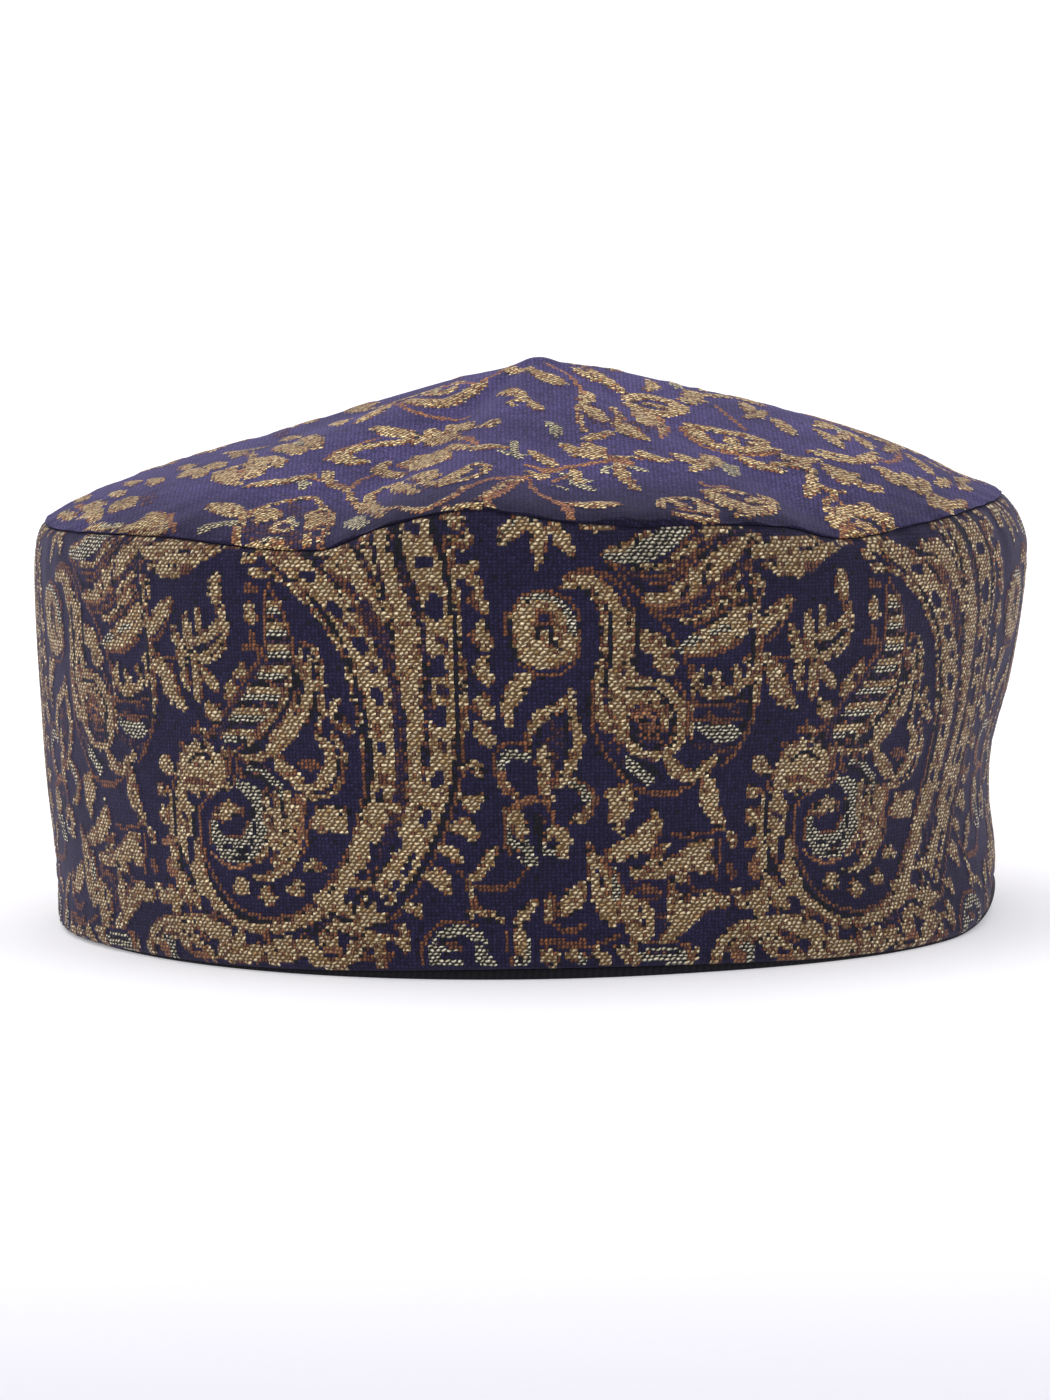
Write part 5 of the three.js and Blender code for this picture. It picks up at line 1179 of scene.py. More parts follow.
def wovenWool(name, look):
    # fine wool jacquard: matt, each weft float a small bright lens with a painted highlight on its upper
    # side and painted shade below it, fading into a darker gap round it that is partly the yarn between
    # the floats and partly painted shade, and a fuzz that lights up violet where the cloth turns away
    material, tree = startMaterial(name)
    where = addNode(tree, "TexCoord").outputs["Object"]
    place = addNode(tree, "UVMap", uv_map="stitch")
    wobble = addNode(tree, "TexNoise", {
        "Vector": where, "Scale": 1 / (woolLook["wobble"] * millimetre), "Detail": 1.0})
    offset = addNode(tree, "VectorMath", {0: wobble.outputs["Color"], 1: (0.5, 0.5, 0.5)},
                     operation="SUBTRACT")
    split = addNode(tree, "SeparateXYZ", {"Vector": place.outputs["UV"]})
    part = addNode(tree, "Math", {0: split.outputs["X"]}, operation="FRACT")  # how far along its float
    side = addNode(tree, "Math", {0: part.outputs["Value"], 1: 2.0, 2: -1.0}, operation="MULTIPLY_ADD")
    lean = addNode(tree, "Math", {0: side.outputs["Value"], 1: look["lean"], 2: split.outputs["Y"]},
                   operation="MULTIPLY_ADD")  # floats rise a little to the right
    spot = addNode(tree, "CombineXYZ", {"X": side.outputs["Value"], "Y": lean.outputs["Value"]})
    shifted = addNode(tree, "VectorMath", {
        0: offset.outputs["Vector"], 1: woolLook["wobbleBy"], 2: spot.outputs["Vector"]},
        operation="MULTIPLY_ADD")
    flat = addNode(tree, "VectorMath", {0: shifted.outputs["Vector"], 1: (1, 1, 0)}, operation="MULTIPLY")
    length = addNode(tree, "VectorMath", {0: flat.outputs["Vector"]}, operation="LENGTH")
    outer, inner = woolLook["lens"]
    lens = addNode(tree, "MapRange", {
        "Value": length.outputs["Value"], "From Min": outer, "From Max": inner},
        interpolation_type="SMOOTHSTEP")
    # painted highlight: each float is painted brighter towards a point above its middle and darker below
    # it, as if lit from above
    glintCentre = addNode(tree, "VectorMath", {0: flat.outputs["Vector"], 1: woolLook["glintCentre"]},
                    operation="DISTANCE")
    far, close, dim, bright = woolLook["paintedGlint"]
    paintedGlint = addNode(tree, "MapRange", {
        "Value": glintCentre.outputs["Value"], "From Min": far, "From Max": close,
        "To Min": dim, "To Max": bright},
        interpolation_type="SMOOTHSTEP")
    yarn, gap, cover = [addNode(tree, "Attribute", attribute_name=field)
                        for field in ("yarn", "gap", "cover")]
    fibre = addNode(tree, "TexNoise", {
        "Vector": where, "Scale": 1 / (woolLook["tuft"] * millimetre), "Detail": 3.0, "Roughness": 0.6})
    patchNoise = addNode(tree, "TexNoise", {
        "Vector": where, "Scale": 1 / (woolLook["patch"] * millimetre), "Detail": 2.0})
    fuzz, patchTone = [addNode(tree, "MapRange", {
        "Value": noise.outputs["Fac"], "From Min": 0.3, "From Max": 0.7,
        "To Min": 1 - by, "To Max": 1 + by})
        for noise, by in ((fibre, woolLook["fuzz"]), (patchNoise, look["patchy"]))]
    shade = addNode(tree, "Math", {0: fuzz.outputs["Result"], 1: patchTone.outputs["Result"]},
                    operation="MULTIPLY")
    light = addNode(tree, "Math", {0: shade.outputs["Value"], 1: paintedGlint.outputs["Result"]},
                    operation="MULTIPLY")
    lit = addNode(tree, "VectorMath", {0: yarn.outputs["Color"], "Scale": light.outputs["Value"]},
                  operation="SCALE")
    # painted shade: towards its edges each float fades into its gap colour, the darker yarn between floats
    # with painted shade over it
    hollow = addNode(tree, "Math", {0: 1.0, 1: lens.outputs["Result"]}, operation="SUBTRACT")
    gapShadeShare = addNode(tree, "Math", {0: hollow.outputs["Value"], 1: cover.outputs["Fac"]},
                       operation="MULTIPLY")
    colour = addNode(tree, "Mix", {"Factor": gapShadeShare.outputs["Value"], "A": lit.outputs["Vector"],
                                   "B": gap.outputs["Color"]}, data_type="RGBA")
    raised = addNode(tree, "Math", {0: lens.outputs["Result"], 1: cover.outputs["Fac"]},
                     operation="MULTIPLY")
    tufted = addNode(tree, "Math", {
        0: fibre.outputs["Fac"], 1: woolLook["tuftRelief"], 2: raised.outputs["Value"]},
        operation="MULTIPLY_ADD")
    bump = addNode(tree, "Bump", {"Height": tufted.outputs["Value"], "Strength": look["bump"],
                                  "Distance": woolLook["relief"] * millimetre})
    surface = addNode(tree, "BsdfPrincipled", {
        "Base Color": colour.outputs["Result"], "Roughness": look["rough"], "IOR": woolLook["ior"],
        "Specular IOR Level": look["specular"], "Sheen Weight": look["sheen"],
        "Sheen Roughness": woolLook["sheenRoughness"], "Sheen Tint": fromHex(look["sheenTint"]),
        "Normal": bump.outputs["Normal"]})
    addNode(tree, "OutputMaterial", {"Surface": surface.outputs["BSDF"]})
    return material


cottonLook = {"lint": 0.5, "relief": 0.15,  # mm
              "dark": 0.7, "light": 1.4, "grooveShade": 0.45}  # shares of the dye; the groove's share is painted shade in the grooves between the ribs


def cottonTwill(name, colourCode, ribWidth):
    # dyed cotton: dull and even, with a fine slanting rib, painted shade in the grooves between the ribs,
    # and a little lint
    material, tree = startMaterial(name)
    where = addNode(tree, "UVMap", uv_map="cloth").outputs["UV"]  # millimetres along and across the cloth
    # a rib and the groove beside it are each ribWidth wide along the cloth
    ribs = addNode(tree, "TexWave", {
        "Vector": where, "Scale": math.pi / 10 / ribWidth, "Distortion": 0.6, "Detail": 2.0},
        bands_direction="DIAGONAL")
    lint = addNode(tree, "TexNoise", {"Vector": where, "Scale": 1 / cottonLook["lint"], "Detail": 3.0})
    dark, light, grooveShade = [[c * cottonLook[share] for c in fromHex(colourCode)[:3]] + [1]
                           for share in ("dark", "light", "grooveShade")]
    tone = addNode(tree, "Mix", {"Factor": lint.outputs["Fac"], "A": dark, "B": light}, data_type="RGBA")
    # painted shade: the grooves between the ribs are painted darker
    shadedGrooves = addNode(tree, "Mix", {
        "Factor": ribs.outputs["Fac"], "A": grooveShade, "B": tone.outputs["Result"]}, data_type="RGBA")
    bump = addNode(tree, "Bump", {"Height": ribs.outputs["Fac"], "Strength": 0.6,
                                  "Distance": cottonLook["relief"] * millimetre})
    surface = addNode(tree, "BsdfPrincipled", {
        "Base Color": shadedGrooves.outputs["Result"], "Roughness": 0.85, "IOR": 1.5, "Specular IOR Level": 0.25,
        "Sheen Weight": 0.2, "Sheen Tint": fromHex("#9a98a8"), "Normal": bump.outputs["Normal"]})
    addNode(tree, "OutputMaterial", {"Surface": surface.outputs["BSDF"]})
    return material


bandWool = wovenWool("bandWoolJacquard", clothLook["band"])
crownWool = wovenWool("crownWoolJacquard", clothLook["crown"])
liningCotton = cottonTwill("liningCotton", "#1b1a22", 0.8)
bindingCotton = cottonTwill("bindingCotton", "#17161c", 0.7)
print("materials made")


bandBuild = {
    "footShow": (0.5, 1.5, 2, 46),  # binding in sight: everywhere, more at the front, its middle and reach
    "clothDrop": (0.7, 3.0, -8, 75),  # where the pattern's foot lies: front, drop, middle, reach
    "snap": 0.33,  # a weft row this close to the foot or the seam becomes the edge itself
    "seamTuck": (0.7, 1.3), "footTuck": (0.8, 1.3),  # how far an edge turns in, over what height
    "wallShares": (0, 0.06, 0.2, 0.36, 0.6, 0.86, 1),  # heights of the inner wall's rings
    "pucker": 0.22, "puckerWaves": ((52, 0.6, 0), (83, 0.4, 40)), "puckerHeight": 9,
    "spread": ((-72, 24, 1.5), (-105, 30, -0.8), (88, 26, -2.3)),  # lean of the foot: angle, reach, size
    "spreadTop": 0.18,  # share of the height where the lean ends
    "shoulder": (88, 45, 1.0), "shoulderFrom": 0.88,  # rounded off at the right, and from which share up
    "dull": (55, 90, 0.2),  # the colours are darker to the right of the front
    "drape": ((3, 0.25, 20), (5, 0.3, 70), (8, 0.22, 10), (13, 0.12, 200)), "drapeSlant": 0.4,
    "radius": 95,  # taken for the wander along the band
    "bakeAcross": (0.004, 0.992), "bakeUp": (0.01, 0.98),  # margin and used share of the bake map
    "bakeStrips": 3, "bakeStrip": 0.3, "bakeInside": (0.905, 0.09),
    "clothMap": (600, 900),  # mm that the bake map stands for on the inner wall
}


def clothFoot(angle):
    least, most, middle, reach = bandBuild["footShow"]
    return hemHeight(angle) + least + most * hump(angle, middle, reach)


def footSpread(angle, share):
    fading = np.clip(1 - share / bandBuild["spreadTop"], 0, 1) ** 2
    return sum(size * hump(angle, middle, reach) for middle, reach, size in bandBuild["spread"]) * fading


def shoulder(angle):  # how far the cap is rounded off at the right of the seam
    middle, reach, size = bandBuild["shoulder"]
    return size * hump(angle, middle, reach)


def tuck(away, size, height):  # an edge turned in, by how far away from it a point is
    return size * (1 - smoothStep(away, 0, height)) ** 2


def bandSurface(angle, height, foot, seam, relief):
    share = (height - foot) / (seam - foot)
    below = seam - height
    tuckFoot = tuck(height - foot, *bandBuild["footTuck"])
    tuckTop = tuck(below, *bandBuild["seamTuck"])
    tuckTop = tuckTop + shoulder(angle) * smoothStep(share, bandBuild["shoulderFrom"], 1)
    pucker = bandBuild["pucker"] * ripple(angle, bandBuild["puckerWaves"])
    pucker = pucker * np.exp(-below / bandBuild["puckerHeight"])
    drape = ripple(angle + height * bandBuild["drapeSlant"], bandBuild["drape"])
    drape = drape * np.sin(np.pi * np.clip(share, 0, 1))
    radius = bandRadius(angle, share) + footSpread(angle, share)
    return radius - tuckTop - tuckFoot + pucker + drape + relief


def makeBand():
    columns, row = weave["columns"], weave["row"]
    front, drop, middle, reach = bandBuild["clothDrop"]
    column = np.arange(columns)
    edge = column * 360 / columns - 180
    foot, seam = clothFoot(edge), seamHeight(edge)
    chartFoot = front - drop * (1 - hump(edge, middle, reach))
    rows = int(math.ceil((seam - chartFoot).max() / row)) + 1
    across, up = np.meshgrid((column + 0.5) * weave["cell"] - weave["repeat"] * weave["repeats"] / 2,
                             (np.arange(rows) + 0.5) * row)
    cloth = paintStrokes(bandChart, across, up, weave["repeat"])
    stitches = spinStitches(cloth, 11, True)
    cover, start, end, tall = [stitches[name] for name in ("cover", "start", "end", "tall")]
    middle, reach, size = bandBuild["dull"]
    for name in ("yarn", "gap"):
        stitches[name] = stitches[name] * (1 - size * hump(edge, middle, reach))[:, None]

    # every column of corners runs from the foot to the seam, which cut the weft rows at a slant
    level = np.arange(rows + 1)
    levels = chartFoot[:, None] + level * row
    snap = bandBuild["snap"]
    lowest = np.maximum((levels <= (foot + snap)[:, None]).sum(axis=1) - 1, 0)
    highest = rows + 1 - (levels >= (seam - snap)[:, None]).sum(axis=1)
    levels[column, lowest] = foot
    levels[column, highest] = seam
    free = (level > lowest[:, None]) & (level < highest[:, None])
    wander = weave["wander"] * (np.random.default_rng(5).random((2, columns, rows + 1)) * 2 - 1) * free
    levels += wander[0]
    turn = edge[:, None] + np.degrees(wander[1] / bandBuild["radius"])
    index = np.clip(level, lowest[:, None], highest[:, None])
    first = np.concatenate([[0], np.cumsum(highest - lowest + 1)])
    number = first[:-1, None] + index - lowest[:, None]
    mass = np.pad(cover.T, ((0, 0), (1, 1)), mode="edge")
    mass = (mass[:, 1:] + mass[:, :-1]) / 2
    mass = (mass + np.roll(mass, 1, axis=0)) / 2
    relief = weave["raise"] * (mass - weave["level"])
    height, angle, relief = [np.take_along_axis(values, index, axis=1)
                             for values in (levels, turn, relief)]
    radius = bandSurface(angle, height, foot[:, None], seam[:, None], relief)
    points = np.zeros((first[-1], 3))
    points[number.ravel()] = toPoints(angle, radius, height).reshape(-1, 3)

    faces, stitchMap, bakeMap, cells = [], [], [], []
    margin, used = bandBuild["bakeAcross"]
    marginUp, usedUp = bandBuild["bakeUp"]
    stripWide = math.ceil(columns / bandBuild["bakeStrips"])  # the cloth lies on the bake map in strips
    for i in range(columns):
        j = (i + 1) % columns
        strip = i // stripWide
        for k in range(min(lowest[i], lowest[j]), max(highest[i], highest[j])):
            left, right, edgeAt = start[k, i], end[k, i], tall[k, i]
            ring = [(number[i, k], left, -edgeAt, i, k), (number[j, k], right, -edgeAt, i + 1, k),
                    (number[j, k + 1], right, edgeAt, i + 1, k + 1),
                    (number[i, k + 1], left, edgeAt, i, k + 1)]
            ring = [corner for at, corner in enumerate(ring) if corner[0] != ring[at - 1][0]]
            if len(ring) < 3:
                continue
            faces.append([corner[0] for corner in ring])
            for _, x, y, place, rise in ring:
                stitchMap.append((x, y))
                bakeMap.append((margin + used * (place - strip * stripWide) / stripWide,
                                (strip + marginUp + usedUp * rise / rows) * bandBuild["bakeStrip"]))
            cells.append((k, i))

    # turned-under foot, inner wall and the closed top edge
    rings = [toPoints(edge, bandRadius(edge, share + 0 * edge) - capForm["bandWall"],
                      foot + share * (seam - foot)) for share in bandBuild["wallShares"]]
    loops = [number[column, lowest]]
    loops += [len(points) + n * columns + column for n in range(len(rings))]
    loops.append(number[column, highest])
    points = np.vstack([points] + rings)
    lining, places = joinRings(loops)
    low, high = bandBuild["bakeInside"]
    bakeMap += [(margin + used * place / columns, low + high * ring / (len(loops) - 1))
                for place, ring in places]
    stitchMap += [(0, 0)] * len(places)
    piece = makePiece("sideBandCloth", points, faces + lining, [bandWool, liningCotton],
                      [0] * len(faces) + [1] * len(lining))
    addMap(piece, "OFBake", bakeMap)
    addMap(piece, "stitch", stitchMap)
    wide, high = bandBuild["clothMap"]
    addMap(piece, "cloth", [(u * wide, v * high) for u, v in bakeMap])
    addWeaveData(piece, stitches, tuple(np.array(cells).T), len(lining))
    return piece


band = makeBand()
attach(band, "root")
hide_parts("side_band")
print("side band:", len(band.data.polygons), "faces")

crownBuild = {
    "gridHalf": 99, "gridEdge": 0.9,  # half the woven grid, and how far inside the rim it stops
    "rimColumns": 720, "rimTurn": 0.01,  # degrees that keep its corners off the exact back
    # rings of the turned edge: in from the rim, out with the puff, share of the way down to the seam,
    # up from there, down with the puff
    "turnRings": ((0.4, 0.2, 0, -0.12, 0), (0.35, 0.4, 0.5, 0.1, 0), (0.8, 0.4, 1, 0.15, 0.3),
                  (1.7, 0, 1, 0.25, 0)),
    "nearRim": 0.6, "turnStep": 0.6,  # where the form is read for them, and the cloth from one to the next
    "liningRings": 7, "liningFrom": 0.15, "liningCrowd": 1.15,  # rings inside, crowded towards the rim
    "liningEdge": (0.02, 0.08),  # the wall thickens over the second share, the first of it before the rim
    "puff": ((13, 11, 1.7), (-4, 9, 0.5)),  # angle, reach, how far the cloth swells over the seam
    "puffBack": 7, "puffRise": 0.5,  # how far in it reaches, and its share that goes upwards
    "pucker": 0.3, "puckerWaves": ((47, 0.6, 15), (71, 0.4, 100)), "puckerReach": 10,
    "drape": ((2, 0.3, 60), (5, 0.35, 10), (7, 0.25, 140)),
    "tipShift": 2.2, "tipReach": 25,  # the tip lies to the right, and the cloth follows within this reach
    "tipLower": 0.9, "tipBreadth": 9,  # it is blunter than the solid's
    "dips": ((90, 70, 1.2, 7), (-90, 60, 0.6, 3)),  # angle, reach, depth, how far in it is deepest
    "rowApart": (46, 24),  # from one row of flowers to the next: back and across
    "rowHalf": 14,  # half the depth of a row
    "behind": -16, "behindShift": (0, 4, 0),  # strokes further forward than this are used behind as well
    "paintedLift": (1.24, 1.18, 1.0),  # painted light: the crown's yarns are painted brighter and warmer than the band's, for the top that lies open to the lamps
    "ground": (0.75, 3.2, 1, 30), "groundFront": 115,  # painted sheen and shade: the ground is painted darker by the front seam and brighter further in: from, to, over mm
    "groundCover": 0.4,  # yarns that cover less than this are ground
    "bakeReach": 101, "bakeInside": (0.08, 0.0008),
    "clothMap": 1200,  # mm that the bake map stands for on the lining
}


def crownRim(angle):
    return bandRadius(angle, np.ones_like(angle)) - shoulder(angle)


def crownPuff(angle):
    return sum(size * hump(angle, middle, reach) for middle, reach, size in crownBuild["puff"])


def crownForm(x, y):  # height of the cloth, before its weave
    fromTip = crownBuild["tipShift"] * np.exp(-np.hypot(x, y) ** 2 / crownBuild["tipReach"] ** 2)
    angle, radius = np.degrees(np.arctan2(x - fromTip, -y)), np.hypot(x - fromTip, y)
    rim = crownRim(angle)
    inward = np.clip(1 - radius / rim, 0, 1)
    depth = rim - radius
    pucker = crownBuild["pucker"] * ripple(angle, crownBuild["puckerWaves"])
    pucker = pucker * np.exp(-depth / crownBuild["puckerReach"])
    drape = ripple(angle, crownBuild["drape"]) * np.sin(np.pi * inward) ** 2
    swell = crownPuff(angle) * np.exp(-(depth / crownBuild["puffBack"]) ** 2)
    dip = crownBuild["tipLower"] * np.exp(-(radius / crownBuild["tipBreadth"]) ** 2)
    for middle, reach, size, deepest in crownBuild["dips"]:
        dip = dip + size * hump(angle, middle, reach) * depth / deepest * np.exp(1 - depth / deepest)
    return crownHeight(angle, inward, rim) + pucker + drape + swell * crownBuild["puffRise"] - dip


def crownStrokes():  # the chart, with what it leaves open behind the front half
    beyond, across = crownBuild["rowApart"]
    half, limit = crownBuild["rowHalf"], crownBuild["behind"]
    between = [(yarn, rows + (across, beyond, 0)) for yarn, rows in crownChart
               if rows[:, 1].min() > -beyond - half and rows[:, 1].max() < half - beyond]
    behind = [(yarn, rows * (-1, -1, 1) + crownBuild["behindShift"]) for yarn, rows in crownChart
              if rows[:, 1].min() < limit]
    return between + behind + crownChart


def outline(faces):  # the corners round the edge of a sheet of faces, walked once round
    sides = dict.fromkeys(side for face in faces for side in zip(face, face[1:] + face[:1]))
    following = {a: b for a, b in sides if (b, a) not in sides}
    at = begin = min(following)
    loop = [at]
    while following[at] != begin:
        at = following[at]
        loop.append(at)
    return np.array(loop)


def zipLoops(inner, outer, innerAngle, outerAngle):  # triangles between two loops, both by rising angle
    faces, a, b = [], 0, 0
    while a < len(inner) or b < len(outer):
        nextInner = innerAngle[a + 1] if a + 1 < len(inner) else innerAngle[0] + 360
        nextOuter = outerAngle[b + 1] if b + 1 < len(outer) else outerAngle[0] + 360
        one, two = inner[a % len(inner)], outer[b % len(outer)]
        if b >= len(outer) or (a < len(inner) and nextInner <= nextOuter):
            faces.append([one, two, inner[(a + 1) % len(inner)]])
            a += 1
        else:
            faces.append([one, two, outer[(b + 1) % len(outer)]])
            b += 1
    return faces


def fourAround(values):  # the four cells that meet at each corner
    return values[1:, 1:], values[1:, :-1], values[:-1, 1:], values[:-1, :-1]


def makeCrown():
    stepX, stepY, half = weave["cell"], weave["row"], crownBuild["gridHalf"]
    countX, countY = [int(2 * half / step) // 2 * 2 for step in (stepX, stepY)]
    edgeX = (np.arange(countX + 1) - countX / 2) * stepX
    edgeY = (np.arange(countY + 1) - countY / 2) * stepY
    gridX, gridY = np.meshgrid(edgeX, edgeY)
    midX, midY = np.meshgrid((edgeX[1:] + edgeX[:-1]) / 2, (edgeY[1:] + edgeY[:-1]) / 2)
    cloth = paintStrokes(crownStrokes(), midX, midY)
    # painted light: the crown's yarns are painted brighter and warmer than the band's
    stitches = spinStitches(cloth, 23, False, crownBuild["paintedLift"])
    cover, start, end, tall = [stitches[name] for name in ("cover", "start", "end", "tall")]
    angle = np.degrees(np.arctan2(midX, -midY))
    depth = crownRim(angle) - np.hypot(midX, midY)
    # painted sheen: the crown's ground is painted much brighter than the band's, where the violet sheen of
    # cloth seen aslant would show, and darker by the front seam
    least, most, near, far = crownBuild["ground"]
    nearSeam = (1 - smoothStep(depth, near, far)) * hump(angle, 0, crownBuild["groundFront"])
    tone = most - (most - least) * nearSeam
    tone = np.where(cover < crownBuild["groundCover"], tone, 1)[..., None]
    for name in ("yarn", "gap"):
        stitches[name] = stitches[name] * tone

    inside = depth > crownBuild["gridEdge"]
    padded = fourAround(np.pad(inside, 1))
    used, deep = np.any(padded, axis=0), np.all(padded, axis=0)
    mass = sum(fourAround(np.pad(cover, 1, mode="edge"))) / 4
    wander = weave["wander"] * (np.random.default_rng(6).random((2,) + gridX.shape) * 2 - 1) * deep
    gridX, gridY = gridX + wander[0], gridY + wander[1]
    number = np.full(gridX.shape, -1)
    number[used] = np.arange(used.sum())
    height = crownForm(gridX[used], gridY[used]) + weave["raise"] * (mass[used] - weave["level"])
    points = np.stack([gridX[used], gridY[used], height], axis=-1)
    faces, stitchMap, flatPlaces = [], [], []
    for k, i in zip(*np.nonzero(inside)):
        ring = [(k, i), (k, i + 1), (k + 1, i + 1), (k + 1, i)]
        faces.append([number[corner] for corner in ring])
        left, right, edgeAt = start[k, i], end[k, i], tall[k, i]
        stitchMap += [(left, -edgeAt), (right, -edgeAt), (right, edgeAt), (left, edgeAt)]
        flatPlaces += [(gridX[corner], gridY[corner]) for corner in ring]
    inner = outline(faces)
    innerAngle = np.degrees(np.arctan2(points[inner, 0], -points[inner, 1]))
    lowest = int(np.argmin(innerAngle))
    inner = np.roll(inner, -lowest)
    innerAngle = np.maximum.accumulate(np.roll(innerAngle, -lowest))

    # the smooth rim: the cloth rolls over the seam and turns under into it, and the lining follows inside
    count = crownBuild["rimColumns"]
    edge = np.arange(count) * 360 / count - 180 + crownBuild["rimTurn"]
    rim, seam, puff = crownRim(edge), seamHeight(edge), crownPuff(edge)
    near = toPoints(edge, rim - crownBuild["nearRim"], 0)
    nearRim = crownForm(near[:, 0], near[:, 1])
    rings = []
    for inset, swell, down, lift, sag in crownBuild["turnRings"]:
        height = (1 - down) * nearRim + down * seam + lift - sag * puff
        rings.append(toPoints(edge, rim - inset + swell * puff, height))
    wall, liningRings = capForm["crownWall"], crownBuild["liningRings"]
    low, high = crownBuild["liningEdge"]
    for n in range(liningRings):
        inward = ((n + crownBuild["liningFrom"]) / liningRings) ** crownBuild["liningCrowd"]
        ring = toPoints(edge, (rim - capForm["bandWall"]) * (1 - inward), 0)
        ring[:, 2] = crownForm(ring[:, 0], ring[:, 1]) - wall * min(1, (inward + low) / high)
        rings.append(ring)
    loops = [len(points) + n * count + np.arange(count) for n in range(len(rings))]
    points = np.vstack([points] + rings + [[[0, 0, crownForm(0.0, 0.0) - wall]]])
    bands = [np.stack([outer, under, np.roll(under, -1), np.roll(outer, -1)], axis=-1).tolist()
             for outer, under in zip(loops[:-1], loops[1:])]
    turned = loops[:len(crownBuild["turnRings"])]
    edging = zipLoops(inner, turned[0], innerAngle, edge) + sum(bands[:len(turned) - 1], [])
    lining = sum(bands[len(turned) - 1:], [])
    lining += [[a, len(points) - 1, b] for a, b in zip(loops[-1], np.roll(loops[-1], -1))]

    unrolled = {corner: points[corner, :2] for corner in inner}
    for n, loop in enumerate(turned):  # where each corner lies once the turned edge is laid flat
        for i, corner in enumerate(loop):
            far = np.hypot(*points[turned[0][i], :2]) + crownBuild["turnStep"] * n
            unrolled[corner] = points[corner, :2] * far / np.hypot(*points[corner, :2])
    cells = [tuple(cell) for cell in np.argwhere(inside)]
    for face in edging:
        flat = [unrolled[corner] for corner in face]
        x, y = np.mean(flat, axis=0)
        i = int(np.clip(x / stepX + countX / 2, 0, countX - 1))
        k = int(np.clip(y / stepY + countY / 2, 0, countY - 1))
        cells.append((k, i))
        flatPlaces += flat
        stitchMap += [(start[k, i] + (end[k, i] - start[k, i]) * (x - edgeX[i]) / stepX,
                       tall[k, i] * (2 * (y - edgeY[k]) / stepY - 1)) for x, y in flat]
    bakeMap = [[0.5 + c / crownBuild["bakeReach"] / 2 for c in place] for place in flatPlaces]
    low, size = crownBuild["bakeInside"]
    bakeMap += [low + size * points[corner, :2] for face in lining for corner in face]
    stitchMap += [(0.0, 0.0)] * (len(bakeMap) - len(stitchMap))
    piece = makePiece("crownCloth", points, faces + edging + lining, [crownWool, liningCotton],
                      [0] * len(cells) + [1] * len(lining))
    addMap(piece, "OFBake", bakeMap)
    addMap(piece, "stitch", stitchMap)
    addMap(piece, "cloth", np.array(bakeMap) * crownBuild["clothMap"])
    addWeaveData(piece, stitches, tuple(np.array(cells).T), len(lining))
    return piece


crown = makeCrown()
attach(crown, "root")
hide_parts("crown")
print("crown:", len(crown.data.polygons), "faces")

bindingBuild = {
    "columns": 360, "gap": 0.15, "ease": 0.15,
    "roll": 0.4, "bevel": 0.3,  # rounding of the folded edge, and the share of it at the corner
    "shares": (0.12, 0.3, 0.5, 0.75, 0.97),  # heights of the facing's rings
    "length": 575, "bakeAcross": (0.002, 0.996), "bakeUp": (0.01, 0.98),
}


def makeBinding():
    count, roll = bindingBuild["columns"], bindingBuild["roll"]
    bevel = roll * bindingBuild["bevel"]
    edge = np.arange(count) * 360 / count - 180
    hem, top, seam = hemHeight(edge), clothFoot(edge) - bindingBuild["gap"], seamHeight(edge)
    outer = bandRadius(edge, 0 * edge) - capForm["bindingSetback"]
    cloth, facing = capForm["bindingCloth"], capForm["bindingFacing"]

    def wallInside(height):
        share = np.clip((height - top) / (seam - top), 0, 1)
        return bandRadius(edge, share) - capForm["bandWall"] - capForm["sewnGap"] - bindingBuild["ease"]

    inner = wallInside(hem) - cloth
    heights = [hem + share * facing for share in bindingBuild["shares"]]
    # radius and height of each ring, going round the L from the outside of the foot
    sections = [(outer, top), (outer, hem + bevel), (outer - roll, hem), (inner + roll, hem),
                (inner + bevel, hem + bevel)]
    sections += [(wallInside(height) - cloth, height) for height in heights]
    sections.append((wallInside(hem + facing) - cloth / 2, hem + facing))
    sections += [(wallInside(height), height) for height in heights[::-1]]
    rings = [toPoints(edge, radius, height) for radius, height in sections]
    loops = [n * count + np.arange(count) for n in range(len(rings))]
    faces, places = joinRings(loops + loops[:1])
    strides = [np.linalg.norm(there[0] - here[0]) for here, there in zip(rings, rings[1:] + rings[:1])]
    soFar = np.r_[0, np.cumsum(strides)]  # how far round the L each ring lies
    (left, wide), (low, high) = bindingBuild["bakeAcross"], bindingBuild["bakeUp"]
    shares = [(column / count, soFar[ring] / soFar[-1]) for column, ring in places]
    piece = makePiece("hemBinding", np.vstack(rings), faces, [bindingCotton])
    addMap(piece, "OFBake", [(left + wide * u, low + high * v) for u, v in shares])
    addMap(piece, "cloth", [(u * bindingBuild["length"], v * soFar[-1]) for u, v in shares])
    return piece


binding = makeBinding()
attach(binding, "root")
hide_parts("hem_binding")
print("hem binding:", len(binding.data.polygons), "faces")

studio = {  # metres
    "floorHalf": 3.0, "floorFront": -2.6, "wallAt": 2.2, "wallTop": 3.5, "bend": 0.9, "bendSteps": 16,
    "floorColour": "#f0f0f2", "frontShadeColour": "#cccbd1", "shadeTowardFront": (-0.16, -0.5),  # where it turns darker: painted falloff of the light towards the front
    # the floor's glow is painted light: the sheet shines by itself, with no lamp under it
    "paintedGlow": 0.3, "sky": 0.6, "skyColour": "#f9f8ff",
    "lights": {"key": (-1.6, -0.7, 1.4, 1.6, 7.6), "fill": (1.6, -0.7, 1.1, 1.6, 9.0),
               "top": (-0.3, 0.5, 2.2, 2.2, 20.0)},  # place, size, watts
    "aim": (0, 0, 0.05),
}


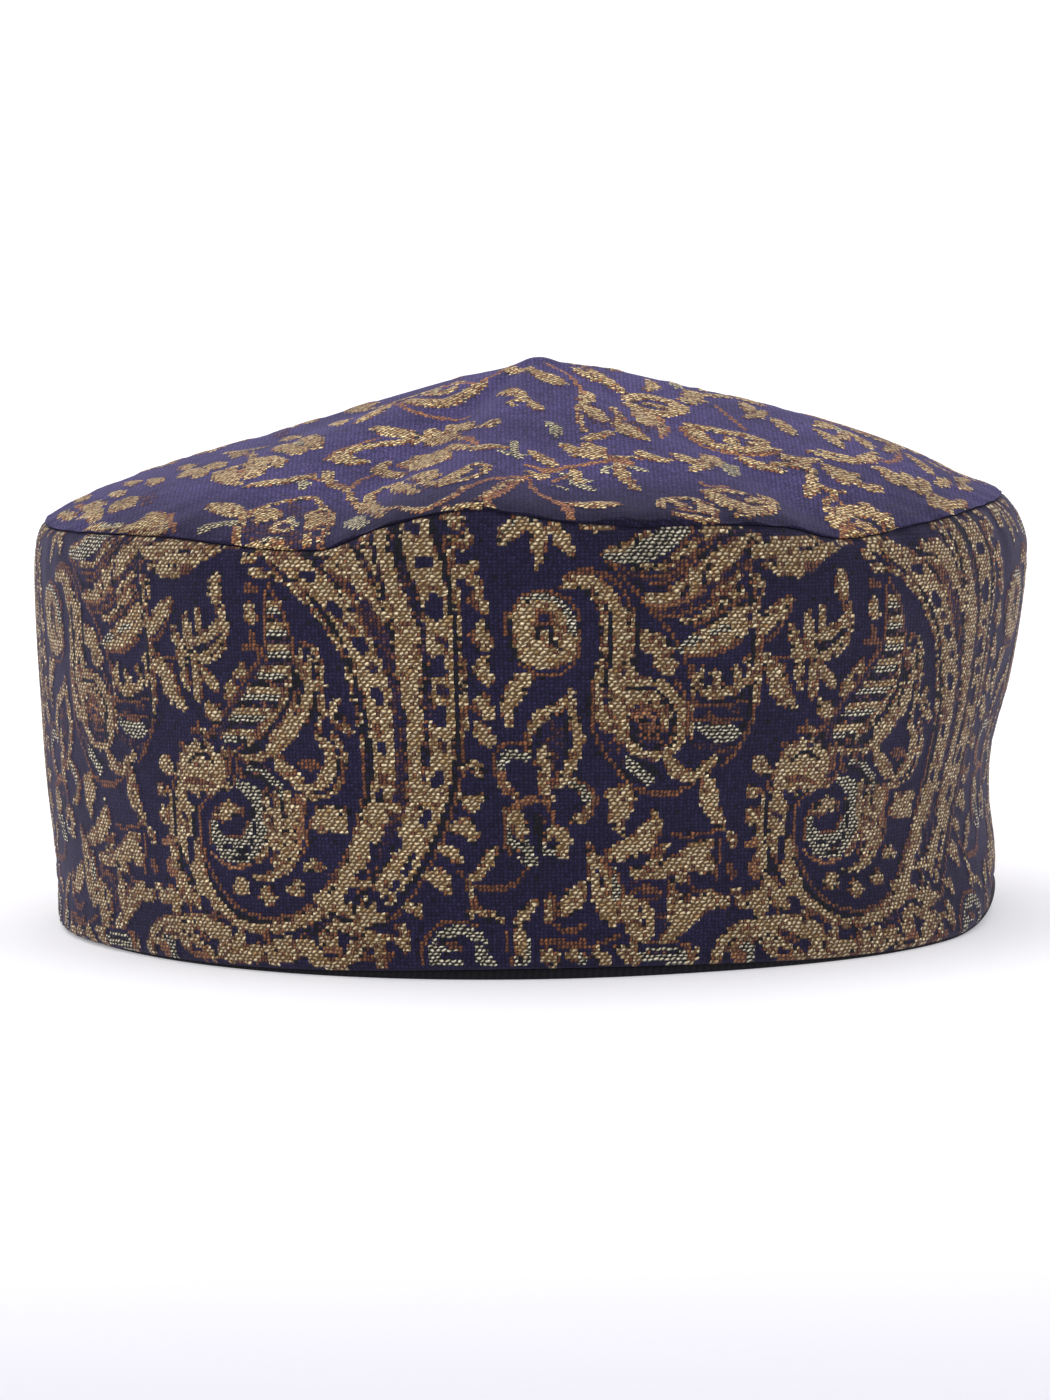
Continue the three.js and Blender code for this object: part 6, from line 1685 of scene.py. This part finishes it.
def makeBackdrop():
    half, wallAt, bend, steps = [studio[name] for name in ("floorHalf", "wallAt", "bend", "bendSteps")]
    profile = [(studio["floorFront"], 0.0), (wallAt - bend, 0.0)]
    for k in range(1, steps + 1):
        t = math.pi / 2 * k / steps
        profile.append((wallAt - bend + bend * math.sin(t), bend - bend * math.cos(t)))
    profile.append((wallAt, studio["wallTop"]))
    points = [(x, y, z) for y, z in profile for x in (-half, half)]
    faces = [[2 * k, 2 * k + 1, 2 * k + 3, 2 * k + 2] for k in range(len(profile) - 1)]
    sheet = makePiece("backdrop", np.array(points) / millimetre, faces, [paperWhite])


def mattPaper():
    # white sheet that glows a little by itself, painted light as from a lamp below, which keeps the
    # shadows faint; it is painted darker to the front, a painted falloff of the light
    material, tree = startMaterial("backdropPaper")
    where = addNode(tree, "TexCoord")
    place = addNode(tree, "SeparateXYZ", {"Vector": where.outputs["Object"]})
    # painted shade: the floor is mixed towards a darker colour near the front
    back, front = studio["shadeTowardFront"]
    nearness = addNode(tree, "MapRange", {
        "Value": place.outputs["Y"], "From Min": back, "From Max": front}, interpolation_type="SMOOTHSTEP")
    tone = addNode(tree, "Mix", {"Factor": nearness.outputs["Result"], "A": fromHex(studio["floorColour"]),
                                 "B": fromHex(studio["frontShadeColour"])}, data_type="RGBA")
    surface = addNode(tree, "BsdfPrincipled", {
        "Base Color": tone.outputs["Result"], "Roughness": 0.9, "Specular IOR Level": 0.1,
        "Emission Color": tone.outputs["Result"], "Emission Strength": studio["paintedGlow"]})
    addNode(tree, "OutputMaterial", {"Surface": surface.outputs["BSDF"]})
    return material


def makeLight(name, x, y, z, size, watts):
    lamp = bpy.data.lights.new(name, "AREA")
    lamp.energy, lamp.size = watts, size
    lamp.shape = "DISK"
    holder = bpy.data.objects.new(name, lamp)
    holder.location = (x, y, z)
    gaze = np.array(studio["aim"]) - np.array((x, y, z))
    holder.rotation_euler = (math.atan2(math.hypot(gaze[0], gaze[1]), -gaze[2]), 0,
                             math.atan2(-gaze[0], gaze[1]))
    bpy.context.scene.collection.objects.link(holder)


paperWhite = mattPaper()
makeBackdrop()
for name, values in studio["lights"].items():
    makeLight(name, *values)
world = bpy.data.worlds.new("softRoom")
world.use_nodes = True
sky = world.node_tree.nodes["Background"].inputs
sky["Color"].default_value = fromHex(studio["skyColour"])
sky["Strength"].default_value = studio["sky"]
bpy.context.scene.world = world
bpy.context.scene.view_settings.view_transform = "Standard"

# the photograph's own viewpoint: about a metre off, a little above the cap, tipped slightly
viewpoint = {"place": (-0.0012, -1.077, 0.158), "pitch": 6.18, "roll": 0.85,
             "focal": 5481 / 1400, "sensor": 36}
lens = bpy.data.cameras.new("camera")
lens.sensor_fit = "VERTICAL"
lens.sensor_height = viewpoint["sensor"]
lens.lens = viewpoint["sensor"] * viewpoint["focal"]
camera = bpy.data.objects.new("camera", lens)
turn = Matrix.Rotation(math.radians(90 - viewpoint["pitch"]), 4, "X")
tip = Matrix.Rotation(math.radians(-viewpoint["roll"]), 4, "Z")
camera.matrix_world = Matrix.Translation(viewpoint["place"]) @ turn @ tip
bpy.context.scene.collection.objects.link(camera)
bpy.context.scene.camera = camera
print("studio set")
